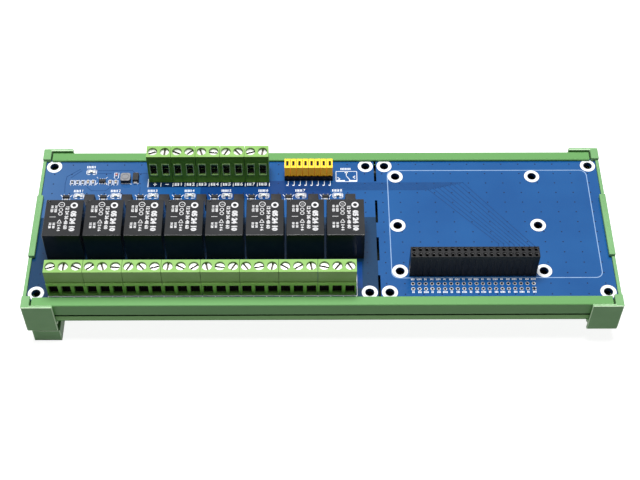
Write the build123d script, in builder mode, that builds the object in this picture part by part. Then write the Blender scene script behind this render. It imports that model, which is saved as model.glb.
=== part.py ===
"""Eight-channel relay board in a snap-together rail carrier, in millimetres.

The long side runs along X and the camera side is -Y. The origin is the middle of the footprint,
on the surface that the two feet stand on.
"""
import os

from build123d import *

os.makedirs("parts", exist_ok=True)

# Circuit board
relay_half_length = 139.9
computer_half_length = 94.5
board_width = 72.0
board_thickness = 1.6
board_top = 22.8
corner_hole_inset = 3.5
mount_hole_diameter = 3.2
fit_play = 0.05

# Snap line between the relay half and the computer half
snap_slot_width = 1.0
edge_slot_depth = 11.8
inner_slot_length = 11.7
inner_slot_ys = (8.15, -11.1)

# Hole pattern and spare connector pads of the single-board computer
computer_spacing_x = 58.0
computer_spacing_y = 49.0
short_spacing_y = 23.0
computer_from_snap = 8.5
computer_from_front = 13.75
pin_pitch = 2.54
pad_hole_diameter = 1.1
pad_hole_sides = 6
spare_pads_offset = 7.4

# Carrier extrusion
slot_play = 0.1
slot_side_play = 0.3
lip_thickness = 1.1
lip_overlap = 1.0
ledge_overlap = 1.4
ledge_thickness = 1.5
outer_wall = 2.0
slot_wall = 3.05
floor_thickness = 1.6
channel_depth = 6.3
groove_height = 0.9
groove_depth = 1.2
band_height = 3.2
band_slope = 0.65
band_foot = 0.6
edge_chamfer = 0.35
profile_short = 2.4

# Screw channels of the extrusion and the screws in them
channel_bore = 3.0
channel_ring = 5.2
channel_sides = 12
channel_mouth = 1.2
channel_inset = 6.35
channel_lift = 1.9
screw_shank = 2.8
screw_reach = 9.0
screw_head = 5.4
screw_head_height = 1.6
screw_slot_width = 0.8
screw_slot_depth = 0.7
head_play = 0.2
screw_play = 0.15
screw_pad = 7.0
pad_play = 0.2
screw_head_sides = 12
screw_shank_sides = 8

# Moulded end pieces
plate_thickness = 1.4
board_end_gap = 0.1
end_slit = 0.55
block_rise = 0.9
low_wall_drop = 1.35
wrap_gap = 0.35
wrap_thickness = 1.2
wrap_length = 12.5
block_depth = 16.5
tab_length = 31.2
tab_overlap = 1.1
tab_play = 0.15
shelf_thickness = 1.6
shelf_play = 0.1
rib_thickness = 1.6
rib_ys = (-9.0, 9.0, 25.0)
mould_chamfer = 0.4

# Rail foot, one on each end piece
rail_width = 35.0
rail_flange = 1.0
rail_play = 0.3
hook_reach = 1.9
latch_reach = 1.2
seat_height = 4.0
foot_bar_height = 8.4
foot_inset = 1.65
foot_past_wrap = 0.4
latch_side_end = 35.0
hook_side_end = 28.5
tongue_setback = 0.7
latch_slot = 1.2
hinge_thickness = 1.6
hinge_length = 2.6

# Relays
relay_count = 8
relay_pitch = 16.1
relay_width = 15.3
relay_length = 18.4
relay_height = 15.8
relay_inset = 13.75
relay_y = -6.75
relay_edge = 0.4
relay_draft = 0.5

# Screw terminals, the same family for the outputs and the inputs
terminal_pitch = 5.08
terminal_joint = 0.06
terminal_depth = 7.8
terminal_height = 15.2
terminal_top_depth = 6.0
terminal_step_height = 8.2
terminal_step = 0.6
wire_width = 3.35
wire_height = 4.7
wire_sill = 1.6
well_diameter = 4.0
well_sides = 8
window_width = 2.6
window_height = 6.2
window_sill = 4.6
pocket_width = 3.7
pocket_height = 8.6
front_wall = 1.2
rear_wall = 1.4
frame_width = 3.4
frame_depth = 3.8
frame_height = 8.4
frame_wall = 0.6
frame_boss = 1.8
clamp_screw_head = 3.8
clamp_screw_head_height = 1.9
clamp_screw_recess = 0.9
clamp_screw_shank = 2.0
clamp_screw_tip = 0.9
output_blocks = 8
output_poles = 3
output_inset = 8.6
output_setback = 2.3
input_blocks = 5
input_poles = 2
input_inset = 44.3
input_setback = 4.3

# Tall socket for the computer's pins
socket_columns = 20
socket_height = 13.2
socket_width = 5.0
socket_end = 1.3
socket_edge = 0.3
contact_hole = 1.0
contact_hole_depth = 8.0
contact_thickness = 0.6

# Jumper block
jumper_count = 8
jumper_inset = 111.7
jumper_setback = 8.8
jumper_base_height = 2.5
jumper_cap_height = 5.9
jumper_cap_width = 2.4
jumper_cap_depth = 4.95
jumper_cap_wall = 0.5
jumper_slot_width = 1.1
jumper_slot_length = 2.6
jumper_pin = 0.64
jumper_pin_top = 7.2
cap_play = 0.1

# Driver parts behind each relay, the first of each kind set in from the board's left end
driver_pitch = 15.5
opto_inset = 20.6
opto_rear_y = 15.0
opto_width = 4.5
opto_length = 6.4
opto_height = 3.6
opto_lead_reach = 1.2
opto_lead_width = 1.0
led_inset = 15.45
led_y = 16.6
transistor_inset = 10.3
transistor_y = 15.85
transistor_size = (2.9, 1.3)
transistor_height = 1.1
lamp_length = 2.0
lamp_width = 1.25
lamp_lens = 1.3
lamp_base = 0.4
lamp_height = 1.0
lamp_draft = 8.0

# Small surface parts of the supply, set in from the board's left end and its rear edge
resistor_insets = (12.0, 14.2, 16.4)
capacitor_insets = (18.6, 20.8, 28.0, 30.3)
row_setback = 12.2
upper_capacitor_inset = (30.3, 8.3)
power_led_inset = (19.6, 6.5)
regulator_inset = (24.6, 11.7)
inductor_inset = (34.5, 10.9)
diode_inset = (38.7, 10.3)
inductor_side = 4.2
inductor_height = 2.5
inductor_corner = 1.0
diode_size = (2.6, 4.3)
diode_height = 2.1
diode_lead_reach = 0.8
diode_lead_width = 1.5
chip_size = (0.9, 1.7)
chip_end = 0.35
cap_proud = 0.04
resistor_height = 0.5
capacitor_height = 0.8
regulator_size = (2.9, 1.6)
package_draft = 4.0
lead_thickness = 0.2
lead_root = 0.3

# Worked out from the values above
board_length = relay_half_length + computer_half_length
half_length = board_length / 2
half_width = board_width / 2
board_bottom = board_top - board_thickness
snap_x = -half_length + relay_half_length
computer_left_x = snap_x + computer_from_snap
computer_right_x = computer_left_x + computer_spacing_x
computer_front_y = -half_width + computer_from_front
socket_x = (computer_left_x + computer_right_x) / 2
socket_y = computer_front_y

slot_low = board_bottom - slot_play
slot_high = board_top + slot_play
rail_top = slot_high + lip_thickness
slot_back = half_width + slot_side_play
rail_half = slot_back + slot_wall
lip_inner = half_width - lip_overlap
ledge_inner = half_width - ledge_overlap
ledge_low = slot_low - ledge_thickness
floor_top = board_bottom - channel_depth
floor_bottom = floor_top - floor_thickness
band_top = floor_bottom + band_height
groove_top = band_top + groove_height

plate_inner = half_length + board_end_gap
end_half = plate_inner + plate_thickness
profile_half = half_length - profile_short
block_inner = profile_half + end_slit
block_top = rail_top + block_rise
low_wall_top = block_top - low_wall_drop
block_bottom = block_top - block_depth
wrap_inner = rail_half + wrap_gap
wrap_outer = wrap_inner + wrap_thickness
wrap_end = end_half - wrap_length
shelf_top = floor_bottom - shelf_play
shelf_bottom = shelf_top - shelf_thickness
channel_y = rail_half - channel_inset
channel_z = floor_top + channel_lift

foot_outer_x = end_half - foot_inset
foot_inner_x = wrap_end - foot_past_wrap
foot_width = foot_outer_x - foot_inner_x
flange_half = rail_width / 2 + rail_play
tongue_end = wrap_outer - tongue_setback
pocket_low = foot_bar_height

output_left = -half_length + output_inset
output_front = -half_width + output_setback
input_left = -half_length + input_inset
input_front = half_width - input_setback
jumper_middle_x = -half_length + jumper_inset
jumper_middle_y = half_width - jumper_setback

screw_y = terminal_step + terminal_top_depth / 2
pocket_depth = terminal_depth - front_wall - rear_wall
frame_mouth = frame_height - frame_wall - frame_boss
screw_tip = board_top + frame_height - frame_boss - clamp_screw_tip
screw_head_low = board_top + terminal_height - clamp_screw_recess - clamp_screw_head_height


def profile_section():
    """Closed half section of the extrusion, from the middle of its floor to one outer face."""
    Polyline(
        (0, floor_bottom),
        (rail_half, floor_bottom),
        (rail_half, floor_bottom + band_foot),
        (rail_half - band_slope, band_top),
        (rail_half - groove_depth, band_top),
        (rail_half - groove_depth, groove_top),
        (rail_half, groove_top),
        (rail_half, rail_top),
        (lip_inner, rail_top),
        (lip_inner, slot_high),
        (slot_back, slot_high),
        (slot_back, slot_low),
        (ledge_inner, slot_low),
        (ledge_inner, ledge_low),
        (rail_half - outer_wall, ledge_low),
        (rail_half - outer_wall, floor_top),
        (0, floor_top),
        close=True,
    )


# Extruded carrier: floor, two walls with board slots, outer grooves and screw channels
with BuildPart() as carrier_profile:
    with BuildSketch(Plane.YZ) as profile_sketch:
        with BuildLine():
            profile_section()
        make_face()
        mirror(about=Plane.YZ)
        lip_corners = profile_sketch.vertices().group_by(Axis.Y)[-1]
        chamfer(lip_corners, length=edge_chamfer)
        with Locations((channel_y, channel_z), (-channel_y, channel_z)):
            RegularPolygon(channel_ring / 2, channel_sides)
        with Locations((channel_y, channel_z), (-channel_y, channel_z)):
            RegularPolygon(channel_bore / 2, channel_sides, mode=Mode.SUBTRACT)
        mouth_middle = channel_y - channel_ring / 2
        with Locations((mouth_middle, channel_z), (-mouth_middle, channel_z)):
            Rectangle(channel_ring, channel_mouth, mode=Mode.SUBTRACT)
    extrude(amount=profile_half, both=True)
carrier_profile.part.label = "carrier_profile"
export_step(carrier_profile.part, "parts/carrier_profile.step")


def foot_outline():
    """Side view of the rail foot: fixed hook at +Y, latch with its tongue and thin hinge at -Y."""
    hinge_inner = -flange_half - latch_slot
    hinge_outer = hinge_inner - hinge_thickness
    latch_top = foot_bar_height - latch_slot
    slot_roof = latch_top + hinge_length
    lip_top = seat_height - rail_flange - rail_play
    Polyline(
        (-tongue_end, 0),
        (-tongue_end, latch_top),
        (hinge_outer, latch_top),
        (hinge_outer, slot_roof),
        (-latch_side_end, slot_roof),
        (-latch_side_end, shelf_bottom),
        (hook_side_end, shelf_bottom),
        (hook_side_end, 0),
        (flange_half - hook_reach / 2, 0),
        (flange_half - hook_reach, lip_top / 2),
        (flange_half - hook_reach, lip_top),
        (flange_half, lip_top),
        (flange_half, seat_height),
        (-flange_half, seat_height),
        (-flange_half, slot_roof),
        (hinge_inner, slot_roof),
        (hinge_inner, lip_top),
        (-flange_half + latch_reach, lip_top),
        (-flange_half, 0),
        close=True,
    )


# Left end piece: low end wall, centre tab, two corner blocks with wraps, shelf and rail foot
with BuildPart() as end_piece_left:
    outer_plane = Plane.YZ.offset(-end_half)
    block_y = (lip_inner + wrap_outer) / 2
    wrap_y = (wrap_inner + wrap_outer) / 2
    block_z = (block_bottom + block_top) / 2
    with BuildSketch(outer_plane):
        with Locations((0, (block_bottom + low_wall_top) / 2)):
            Rectangle(2 * wrap_outer, low_wall_top - block_bottom)
    extrude(amount=plate_thickness)
    with BuildSketch(outer_plane):
        with Locations((block_y, block_z), (-block_y, block_z)):
            Rectangle(wrap_outer - lip_inner, block_depth)
    extrude(amount=end_half - block_inner)
    with BuildSketch(outer_plane):
        with Locations((wrap_y, block_z), (-wrap_y, block_z)):
            Rectangle(wrap_thickness, block_depth)
    extrude(amount=wrap_length)
    with BuildSketch(outer_plane):
        with Locations((0, (board_top + tab_play + block_top) / 2)):
            Rectangle(tab_length, block_top - board_top - tab_play)
    extrude(amount=plate_thickness + board_end_gap + tab_overlap)
    with BuildSketch(outer_plane):
        with Locations((0, (shelf_bottom + shelf_top) / 2)):
            Rectangle(2 * wrap_inner, shelf_thickness)
    extrude(amount=end_half - foot_inner_x)
    with BuildSketch(Plane.YZ.offset(-foot_outer_x)):
        with BuildLine():
            foot_outline()
        make_face()
    extrude(amount=foot_width)
    with BuildSketch(Plane.YZ.offset(-foot_inner_x)):
        for low_y, high_y in zip(rib_ys[:-1], rib_ys[1:]):
            with Locations(((low_y + high_y) / 2, (pocket_low + shelf_bottom) / 2)):
                Rectangle(high_y - low_y - rib_thickness, shelf_bottom - pocket_low)
    extrude(amount=-(foot_width - rib_thickness), mode=Mode.SUBTRACT)
    with BuildSketch(Plane.YZ.offset(-plate_inner)):
        with Locations((channel_y, channel_z), (-channel_y, channel_z)):
            Rectangle(screw_pad, screw_pad)
    extrude(amount=plate_inner - profile_half - pad_play)
    with BuildSketch(Plane.YZ.offset(-plate_inner)):
        with Locations((0, (slot_low + slot_high) / 2)):
            Rectangle(2 * slot_back, slot_high - slot_low)
    extrude(amount=plate_inner - block_inner, mode=Mode.SUBTRACT)
    with BuildSketch(outer_plane):
        with Locations((channel_y, channel_z), (-channel_y, channel_z)):
            RegularPolygon(screw_shank / 2 + screw_play, screw_shank_sides)
    extrude(amount=end_half - profile_half, mode=Mode.SUBTRACT)
    with BuildSketch(outer_plane):
        with Locations((channel_y, channel_z), (-channel_y, channel_z)):
            RegularPolygon(screw_head / 2 + screw_play, screw_head_sides)
    extrude(amount=screw_head_height + head_play, mode=Mode.SUBTRACT)
    upright_edges = end_piece_left.edges().filter_by(Axis.Z).group_by(Axis.X)[0]
    chamfer(upright_edges.group_by(Axis.Y)[0] + upright_edges.group_by(Axis.Y)[-1], mould_chamfer)
end_piece_left.part.label = "end_piece_left"
export_step(end_piece_left.part, "parts/end_piece_left.step")

# Right end piece: the same moulding turned half round, so its latch tongue is at the back
with BuildPart() as end_piece_right:
    add(end_piece_left.part, rotation=(0, 0, 180))
end_piece_right.part.label = "end_piece_right"
export_step(end_piece_right.part, "parts/end_piece_right.step")


def end_screw():
    """One slotted screw about the Z axis, the underside of its head at Z 0."""
    with BuildPart() as screw:
        with BuildSketch():
            RegularPolygon(screw_head / 2, screw_head_sides)
        extrude(amount=screw_head_height)
        with BuildSketch():
            RegularPolygon(screw_shank / 2, screw_shank_sides)
        extrude(amount=-screw_reach)
        with Locations((0, 0, screw_head_height)):
            Box(screw_head, screw_slot_width, 2 * screw_slot_depth, mode=Mode.SUBTRACT)
    return screw.part


# Two screws hold each end piece to the screw channels of the extrusion
head_seat = end_half - screw_head_height - head_play
end_screw_spots = [
    Location((side * head_seat, row * channel_y, channel_z), (0, side * 90, 0))
    for side in (-1, 1)
    for row in (-1, 1)
]
with BuildPart() as end_screws:
    with Locations(*end_screw_spots):
        add(end_screw())
end_screws.part.label = "end_screws"
export_step(end_screws.part, "parts/end_screws.step")


def relay_x(index):
    """Middle of one relay along the board."""
    return -half_length + relay_inset + index * relay_pitch


def two_rows(middle_x, middle_y, columns):
    """Points of a two-row pin grid."""
    first_x = middle_x - (columns - 1) * pin_pitch / 2
    rows = (middle_y - pin_pitch / 2, middle_y + pin_pitch / 2)
    return [(first_x + column * pin_pitch, y) for y in rows for column in range(columns)]


socket_points = two_rows(socket_x, socket_y, socket_columns)
spare_points = two_rows(socket_x, socket_y - spare_pads_offset, socket_columns)
jumper_points = two_rows(jumper_middle_x, jumper_middle_y, jumper_count)

hole_y = half_width - corner_hole_inset
snap_inset = snap_slot_width / 2 + corner_hole_inset
corner_xs = (
    -half_length + corner_hole_inset,
    snap_x - snap_inset,
    snap_x + snap_inset,
    half_length - corner_hole_inset,
)
corner_points = [(x, side * hole_y) for x in corner_xs for side in (-1, 1)]
computer_ys = (
    computer_front_y,
    computer_front_y + short_spacing_y,
    computer_front_y + computer_spacing_y,
)
computer_points = [(x, y) for x in (computer_left_x, computer_right_x) for y in computer_ys]

# One board with a row of snap slots between its two halves
with BuildPart() as circuit_board:
    with BuildSketch(Plane.XY.offset(board_bottom)):
        Rectangle(board_length, board_width)
        with Locations(*corner_points, *computer_points):
            Circle(mount_hole_diameter / 2, mode=Mode.SUBTRACT)
        with Locations((snap_x, half_width), (snap_x, -half_width)):
            Rectangle(snap_slot_width, 2 * edge_slot_depth, mode=Mode.SUBTRACT)
        with Locations(*[(snap_x, y) for y in inner_slot_ys]):
            Rectangle(snap_slot_width, inner_slot_length, mode=Mode.SUBTRACT)
        with Locations(*spare_points):
            RegularPolygon(pad_hole_diameter / 2, pad_hole_sides, mode=Mode.SUBTRACT)
    extrude(amount=board_thickness)
circuit_board.part.label = "circuit_board"
export_step(circuit_board.part, "parts/circuit_board.step")

# Sealed relays standing on the board, their upper edges softened
for index in range(relay_count):
    with BuildPart() as relay:
        with BuildSketch(Plane.XY.offset(board_top)):
            with Locations((relay_x(index), relay_y)):
                Rectangle(relay_width, relay_length)
        extrude(amount=relay_height, taper=relay_draft)
        chamfer(relay.faces().sort_by(Axis.Z)[-1].edges(), relay_edge)
    relay.part.label = f"relay_{index + 1}"
    export_step(relay.part, f"parts/relay_{index + 1}.step")


def terminal_outline():
    """Side view of a terminal housing, seen from its end: wire side at -Y, leaning back at +Y."""
    step_z = board_top + terminal_step_height
    top_z = board_top + terminal_height
    Polyline(
        (0, board_top),
        (0, step_z),
        (terminal_step, step_z),
        (terminal_step, top_z),
        (terminal_step + terminal_top_depth, top_z),
        (terminal_depth, board_top),
        close=True,
    )


def terminal_block(poles):
    """Housing of one terminal block with its left end at X 0 and its wire side at Y 0."""
    length = poles * terminal_pitch - terminal_joint
    pole_xs = [(pole + 0.5) * terminal_pitch for pole in range(poles)]
    with BuildPart() as block:
        with BuildSketch(Plane.YZ.offset(terminal_joint / 2)):
            with BuildLine():
                terminal_outline()
            make_face()
        extrude(amount=length)
        with BuildSketch(Plane.XZ):
            with Locations(*[(x, board_top + wire_sill + wire_height / 2) for x in pole_xs]):
                Rectangle(wire_width, wire_height)
        extrude(amount=-front_wall, mode=Mode.SUBTRACT)
        with BuildSketch(Plane.XY.offset(board_top)):
            with Locations(*[(x, front_wall + pocket_depth / 2) for x in pole_xs]):
                Rectangle(pocket_width, pocket_depth)
        extrude(amount=pocket_height, mode=Mode.SUBTRACT)
        with BuildSketch(Plane.XZ.offset(-terminal_depth)):
            with Locations(*[(x, board_top + window_sill + window_height / 2) for x in pole_xs]):
                Rectangle(window_width, window_height)
        extrude(amount=rear_wall, mode=Mode.SUBTRACT)
        with BuildSketch(Plane.XY.offset(board_top + terminal_height)):
            with Locations(*[(x, screw_y) for x in pole_xs]):
                RegularPolygon(well_diameter / 2, well_sides)
        extrude(amount=pocket_height - terminal_height, mode=Mode.SUBTRACT)
    return block.part


def clamp_screw():
    """One clamp screw about the Z axis, threaded into its frame and reaching into the mouth."""
    with BuildPart() as screw:
        with BuildSketch(Plane.XY.offset(screw_tip)):
            Rectangle(clamp_screw_shank, clamp_screw_shank)
        extrude(amount=screw_head_low - screw_tip)
        with BuildSketch(Plane.XY.offset(screw_head_low)):
            RegularPolygon(clamp_screw_head / 2, well_sides)
        extrude(amount=clamp_screw_head_height)
    return screw.part


def clamp_frame():
    """One folded wire frame standing on the board, open along Y, with a screw hole in its top."""
    with BuildPart() as frame:
        with BuildSketch(Plane.XZ.offset(frame_depth / 2)):
            with Locations((0, board_top + frame_height / 2)):
                Rectangle(frame_width, frame_height)
            with Locations((0, board_top + frame_wall + frame_mouth / 2)):
                Rectangle(frame_width - 2 * frame_wall, frame_mouth, mode=Mode.SUBTRACT)
        extrude(amount=-frame_depth)
        with BuildSketch(Plane.XY.offset(board_top + frame_height)):
            Rectangle(clamp_screw_shank + 2 * fit_play, clamp_screw_shank + 2 * fit_play)
        extrude(amount=-frame_boss, mode=Mode.SUBTRACT)
    return frame.part


def pole_spots(left, wire_side, poles, turn):
    """Place of each pole's screw: left end, wire side's Y, number of poles and half turn or none."""
    toward = 1 if turn == 0 else -1
    screw_xs = [left + (pole + 0.5) * terminal_pitch for pole in range(poles)]
    return [Location((x, wire_side + toward * screw_y, 0), (0, 0, turn)) for x in screw_xs]


output_spots = pole_spots(output_left, output_front, output_blocks * output_poles, 0)
input_spots = pole_spots(input_left, input_front, input_blocks * input_poles, 180)

# Output terminal housings, their wire side towards -Y
output_length = output_poles * terminal_pitch
output_housing = terminal_block(output_poles)
for index in range(output_blocks):
    with BuildPart() as output_terminal:
        with Locations((output_left + index * output_length, output_front, 0)):
            add(output_housing)
    output_terminal.part.label = f"output_terminal_{index + 1}"
    export_step(output_terminal.part, f"parts/output_terminal_{index + 1}.step")

# Input terminal housings, turned so that their wire side is at +Y
input_length = input_poles * terminal_pitch
input_housing = terminal_block(input_poles)
for index in range(input_blocks):
    with BuildPart() as input_terminal:
        right_end = (input_left + (index + 1) * input_length, input_front, 0)
        with Locations(Location(right_end, (0, 0, 180))):
            add(input_housing)
    input_terminal.part.label = f"input_terminal_{index + 1}"
    export_step(input_terminal.part, f"parts/input_terminal_{index + 1}.step")

# Clamp screws and clamp frames of both rows
for row, spots in (("output", output_spots), ("input", input_spots)):
    with BuildPart() as row_screws:
        with Locations(*spots):
            add(clamp_screw())
    row_screws.part.label = f"{row}_clamp_screws"
    export_step(row_screws.part, f"parts/{row}_clamp_screws.step")
    with BuildPart() as row_frames:
        with Locations(*spots):
            add(clamp_frame())
    row_frames.part.label = f"{row}_clamp_frames"
    export_step(row_frames.part, f"parts/{row}_clamp_frames.step")

# Tall socket that the computer plugs into
socket_length = (socket_columns - 1) * pin_pitch + 2 * socket_end
with BuildPart() as computer_socket:
    with BuildSketch(Plane.XY.offset(board_top)):
        with Locations((socket_x, socket_y)):
            Rectangle(socket_length, socket_width)
        with Locations(*socket_points):
            Rectangle(contact_hole, contact_hole, mode=Mode.SUBTRACT)
    extrude(amount=socket_height)
    chamfer(computer_socket.edges().filter_by(Axis.Z).group_by(Axis.X)[0], socket_edge)
    chamfer(computer_socket.edges().filter_by(Axis.Z).group_by(Axis.X)[-1], socket_edge)
computer_socket.part.label = "computer_socket"
export_step(computer_socket.part, "parts/computer_socket.step")

# Contacts inside the socket, ending below the mouths of its holes
with BuildPart() as socket_contacts:
    with BuildSketch(Plane.XY.offset(board_top)):
        with Locations(*socket_points):
            Rectangle(contact_thickness, contact_thickness)
    extrude(amount=socket_height - contact_hole_depth)
socket_contacts.part.label = "socket_contacts"
export_step(socket_contacts.part, "parts/socket_contacts.step")

# Jumper header: a base moulded round its two rows of pins
with BuildPart() as jumper_header:
    with BuildSketch(Plane.XY.offset(board_top)):
        with Locations((jumper_middle_x, jumper_middle_y)):
            Rectangle(jumper_count * pin_pitch, 2 * pin_pitch)
    extrude(amount=jumper_base_height)
    with BuildSketch(Plane.XY.offset(board_top + jumper_base_height)):
        with Locations(*jumper_points):
            Rectangle(jumper_pin, jumper_pin)
    extrude(amount=jumper_pin_top - jumper_base_height)
jumper_header.part.label = "jumper_header"
export_step(jumper_header.part, "parts/jumper_header.step")

# Jumper caps, one over each pair of pins
cap_low = board_top + jumper_base_height + cap_play
cap_roof = cap_low + jumper_cap_height
cap_cavity_top = board_top + jumper_pin_top + cap_play
for index in range(jumper_count):
    cap_x = jumper_middle_x + (index - (jumper_count - 1) / 2) * pin_pitch
    with BuildPart() as jumper_cap:
        with BuildSketch(Plane.XY.offset(cap_low)):
            with Locations((cap_x, jumper_middle_y)):
                Rectangle(jumper_cap_width, jumper_cap_depth)
        extrude(amount=jumper_cap_height)
        with BuildSketch(Plane.XY.offset(cap_low)):
            with Locations((cap_x, jumper_middle_y)):
                Rectangle(jumper_cap_width - 2 * jumper_cap_wall, jumper_cap_depth - 2 * jumper_cap_wall)
        extrude(amount=cap_cavity_top - cap_low, mode=Mode.SUBTRACT)
        with BuildSketch(Plane.XY.offset(cap_roof)):
            with Locations((cap_x, jumper_middle_y)):
                Rectangle(jumper_slot_width, jumper_slot_length)
        extrude(amount=cap_cavity_top - cap_roof, mode=Mode.SUBTRACT)
    jumper_cap.part.label = f"jumper_cap_{index + 1}"
    export_step(jumper_cap.part, f"parts/jumper_cap_{index + 1}.step")


def package(middle, size, height):
    """Moulded package with drafted sides; middle is its X and Y, size its two sides."""
    with BuildPart() as body:
        with BuildSketch(Plane.XY.offset(board_top)):
            with Locations(middle):
                Rectangle(*size)
        extrude(amount=height, taper=package_draft)
    return body.part


def flat_leads(middle, size, places, reach, width):
    """Flat leads at both ends of a package, at the given places along X and rooted in its body."""
    x, y = middle
    lead_y = (size[1] + reach - lead_root) / 2
    with BuildPart() as leads:
        with BuildSketch(Plane.XY.offset(board_top)):
            with Locations(*[(x + place, y + side * lead_y) for place in places for side in (-1, 1)]):
                Rectangle(width, reach + lead_root)
        extrude(amount=lead_thickness)
    return leads.part


def chip(middle, size, height, end_cap):
    """Flat chip lying along Y with its two soldered end caps standing slightly proud."""
    x, y = middle
    wide, deep = size
    with BuildPart() as body:
        with BuildSketch(Plane.XY.offset(board_top)):
            with Locations((x, y)):
                Rectangle(wide, deep)
        extrude(amount=height)
        with BuildSketch(Plane.XY.offset(board_top)):
            with Locations((x, y + (deep - end_cap) / 2), (x, y - (deep - end_cap) / 2)):
                Rectangle(wide + 2 * cap_proud, end_cap)
        extrude(amount=height + cap_proud)
    return body.part


def lamp(middle):
    """Surface light with its long side along X: a flat base and a clear lens on it."""
    x, y = middle
    with BuildPart() as body:
        with BuildSketch(Plane.XY.offset(board_top)):
            with Locations((x, y)):
                Rectangle(lamp_length, lamp_width)
        extrude(amount=lamp_base)
        with BuildSketch(Plane.XY.offset(board_top + lamp_base)):
            with Locations((x, y)):
                Rectangle(lamp_lens, lamp_width)
        extrude(amount=lamp_height - lamp_base, taper=lamp_draft)
    return body.part


def from_corner(inset):
    """Point at two distances from the board's left end and its rear edge."""
    return (-half_length + inset[0], half_width - inset[1])


driver_xs = [-half_length + index * driver_pitch for index in range(relay_count)]

# Optocouplers, one behind each relay, as one group of like solids
opto_y = opto_rear_y - opto_length / 2
opto_size = (opto_width, opto_length)
opto_leads = (-pin_pitch / 2, pin_pitch / 2)
with BuildPart() as optocouplers:
    for x in driver_xs:
        middle = (opto_inset + x, opto_y)
        add(package(middle, opto_size, opto_height))
        add(flat_leads(middle, opto_size, opto_leads, opto_lead_reach, opto_lead_width))
optocouplers.part.label = "optocouplers"
export_step(optocouplers.part, "parts/optocouplers.step")

# Driver transistors beside them
with BuildPart() as transistors:
    for x in driver_xs:
        add(package((transistor_inset + x, transistor_y), transistor_size, transistor_height))
transistors.part.label = "transistors"
export_step(transistors.part, "parts/transistors.step")

with BuildPart() as channel_lamps:
    for x in driver_xs:
        add(lamp((led_inset + x, led_y)))
channel_lamps.part.label = "channel_lamps"
export_step(channel_lamps.part, "parts/channel_lamps.step")

with BuildPart() as power_lamp:
    add(lamp(from_corner(power_led_inset)))
power_lamp.part.label = "power_lamp"
export_step(power_lamp.part, "parts/power_lamp.step")

with BuildPart() as resistors:
    for inset in resistor_insets:
        add(chip(from_corner((inset, row_setback)), chip_size, resistor_height, chip_end))
resistors.part.label = "resistors"
export_step(resistors.part, "parts/resistors.step")

with BuildPart() as capacitors:
    for inset in capacitor_insets:
        add(chip(from_corner((inset, row_setback)), chip_size, capacitor_height, chip_end))
    add(chip(from_corner(upper_capacitor_inset), chip_size, capacitor_height, chip_end))
capacitors.part.label = "capacitors"
export_step(capacitors.part, "parts/capacitors.step")

with BuildPart() as regulator:
    add(package(from_corner(regulator_inset), regulator_size, transistor_height))
regulator.part.label = "regulator"
export_step(regulator.part, "parts/regulator.step")

# Shielded power inductor with rounded corners
with BuildPart() as power_inductor:
    with BuildSketch(Plane.XY.offset(board_top)):
        with Locations(from_corner(inductor_inset)):
            RectangleRounded(inductor_side, inductor_side, inductor_corner)
    extrude(amount=inductor_height)
power_inductor.part.label = "power_inductor"
export_step(power_inductor.part, "parts/power_inductor.step")

with BuildPart() as power_diode:
    diode_middle = from_corner(diode_inset)
    add(package(diode_middle, diode_size, diode_height))
    add(flat_leads(diode_middle, diode_size, (0,), diode_lead_reach, diode_lead_width))
power_diode.part.label = "power_diode"
export_step(power_diode.part, "parts/power_diode.step")
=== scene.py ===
"""Relay board in a snap-together rail carrier, dressed and lit for a product picture.

Sizes are in millimetres unless a name says otherwise, and X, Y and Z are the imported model's own.
"""
import logging
import math
from collections.abc import Callable, Iterator, Sequence
from contextlib import contextmanager
from dataclasses import dataclass, field, replace
from enum import Enum

import bpy
from mathutils import Matrix, Vector


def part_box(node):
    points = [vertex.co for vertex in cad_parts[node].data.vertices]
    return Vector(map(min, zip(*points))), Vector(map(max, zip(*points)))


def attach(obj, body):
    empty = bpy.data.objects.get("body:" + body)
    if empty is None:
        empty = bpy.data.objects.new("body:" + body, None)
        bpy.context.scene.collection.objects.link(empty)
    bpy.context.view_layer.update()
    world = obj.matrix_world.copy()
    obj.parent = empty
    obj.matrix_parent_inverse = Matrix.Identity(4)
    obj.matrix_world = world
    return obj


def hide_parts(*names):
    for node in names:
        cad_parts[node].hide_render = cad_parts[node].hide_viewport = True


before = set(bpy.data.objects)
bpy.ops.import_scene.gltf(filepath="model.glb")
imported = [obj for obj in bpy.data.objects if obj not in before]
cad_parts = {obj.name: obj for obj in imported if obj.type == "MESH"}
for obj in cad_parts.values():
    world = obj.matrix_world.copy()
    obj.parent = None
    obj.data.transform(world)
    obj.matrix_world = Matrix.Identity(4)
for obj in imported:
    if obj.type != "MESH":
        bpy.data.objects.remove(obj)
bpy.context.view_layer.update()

log = logging.getLogger("relay_board")

MM = 0.001
BODY = "root"

Pair = tuple[float, float]
Triple = tuple[float, float, float]
Colour = tuple[float, float, float, float]
Spot = tuple[float, float, float, float]
Piece = bpy.types.Object
Plug = bpy.types.NodeSocket
Paths = tuple[tuple[tuple[Pair, ...], float], ...]
FaceTest = Callable[[Vector, Vector], bool]


def paint(red: int, green: int, blue: int) -> Colour:
    """Turn a display colour into the linear colour of a shader.

    Args:
        red: Red, from 0 to 255.
        green: Green, from 0 to 255.
        blue: Blue, from 0 to 255.

    Returns:
        The linear colour with an alpha of 1.
    """

    def linear(value: int) -> float:
        """Undo the display curve of one channel."""
        share = value / 255
        return share / 12.92 if share <= 0.04045 else ((share + 0.055) / 1.055) ** 2.4

    return (linear(red), linear(green), linear(blue), 1.0)


def node_box(node: str) -> tuple[Vector, Vector]:
    """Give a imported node's lowest and highest corner in millimetres."""
    low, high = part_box(node)
    return Vector(low) / MM, Vector(high) / MM


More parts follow.
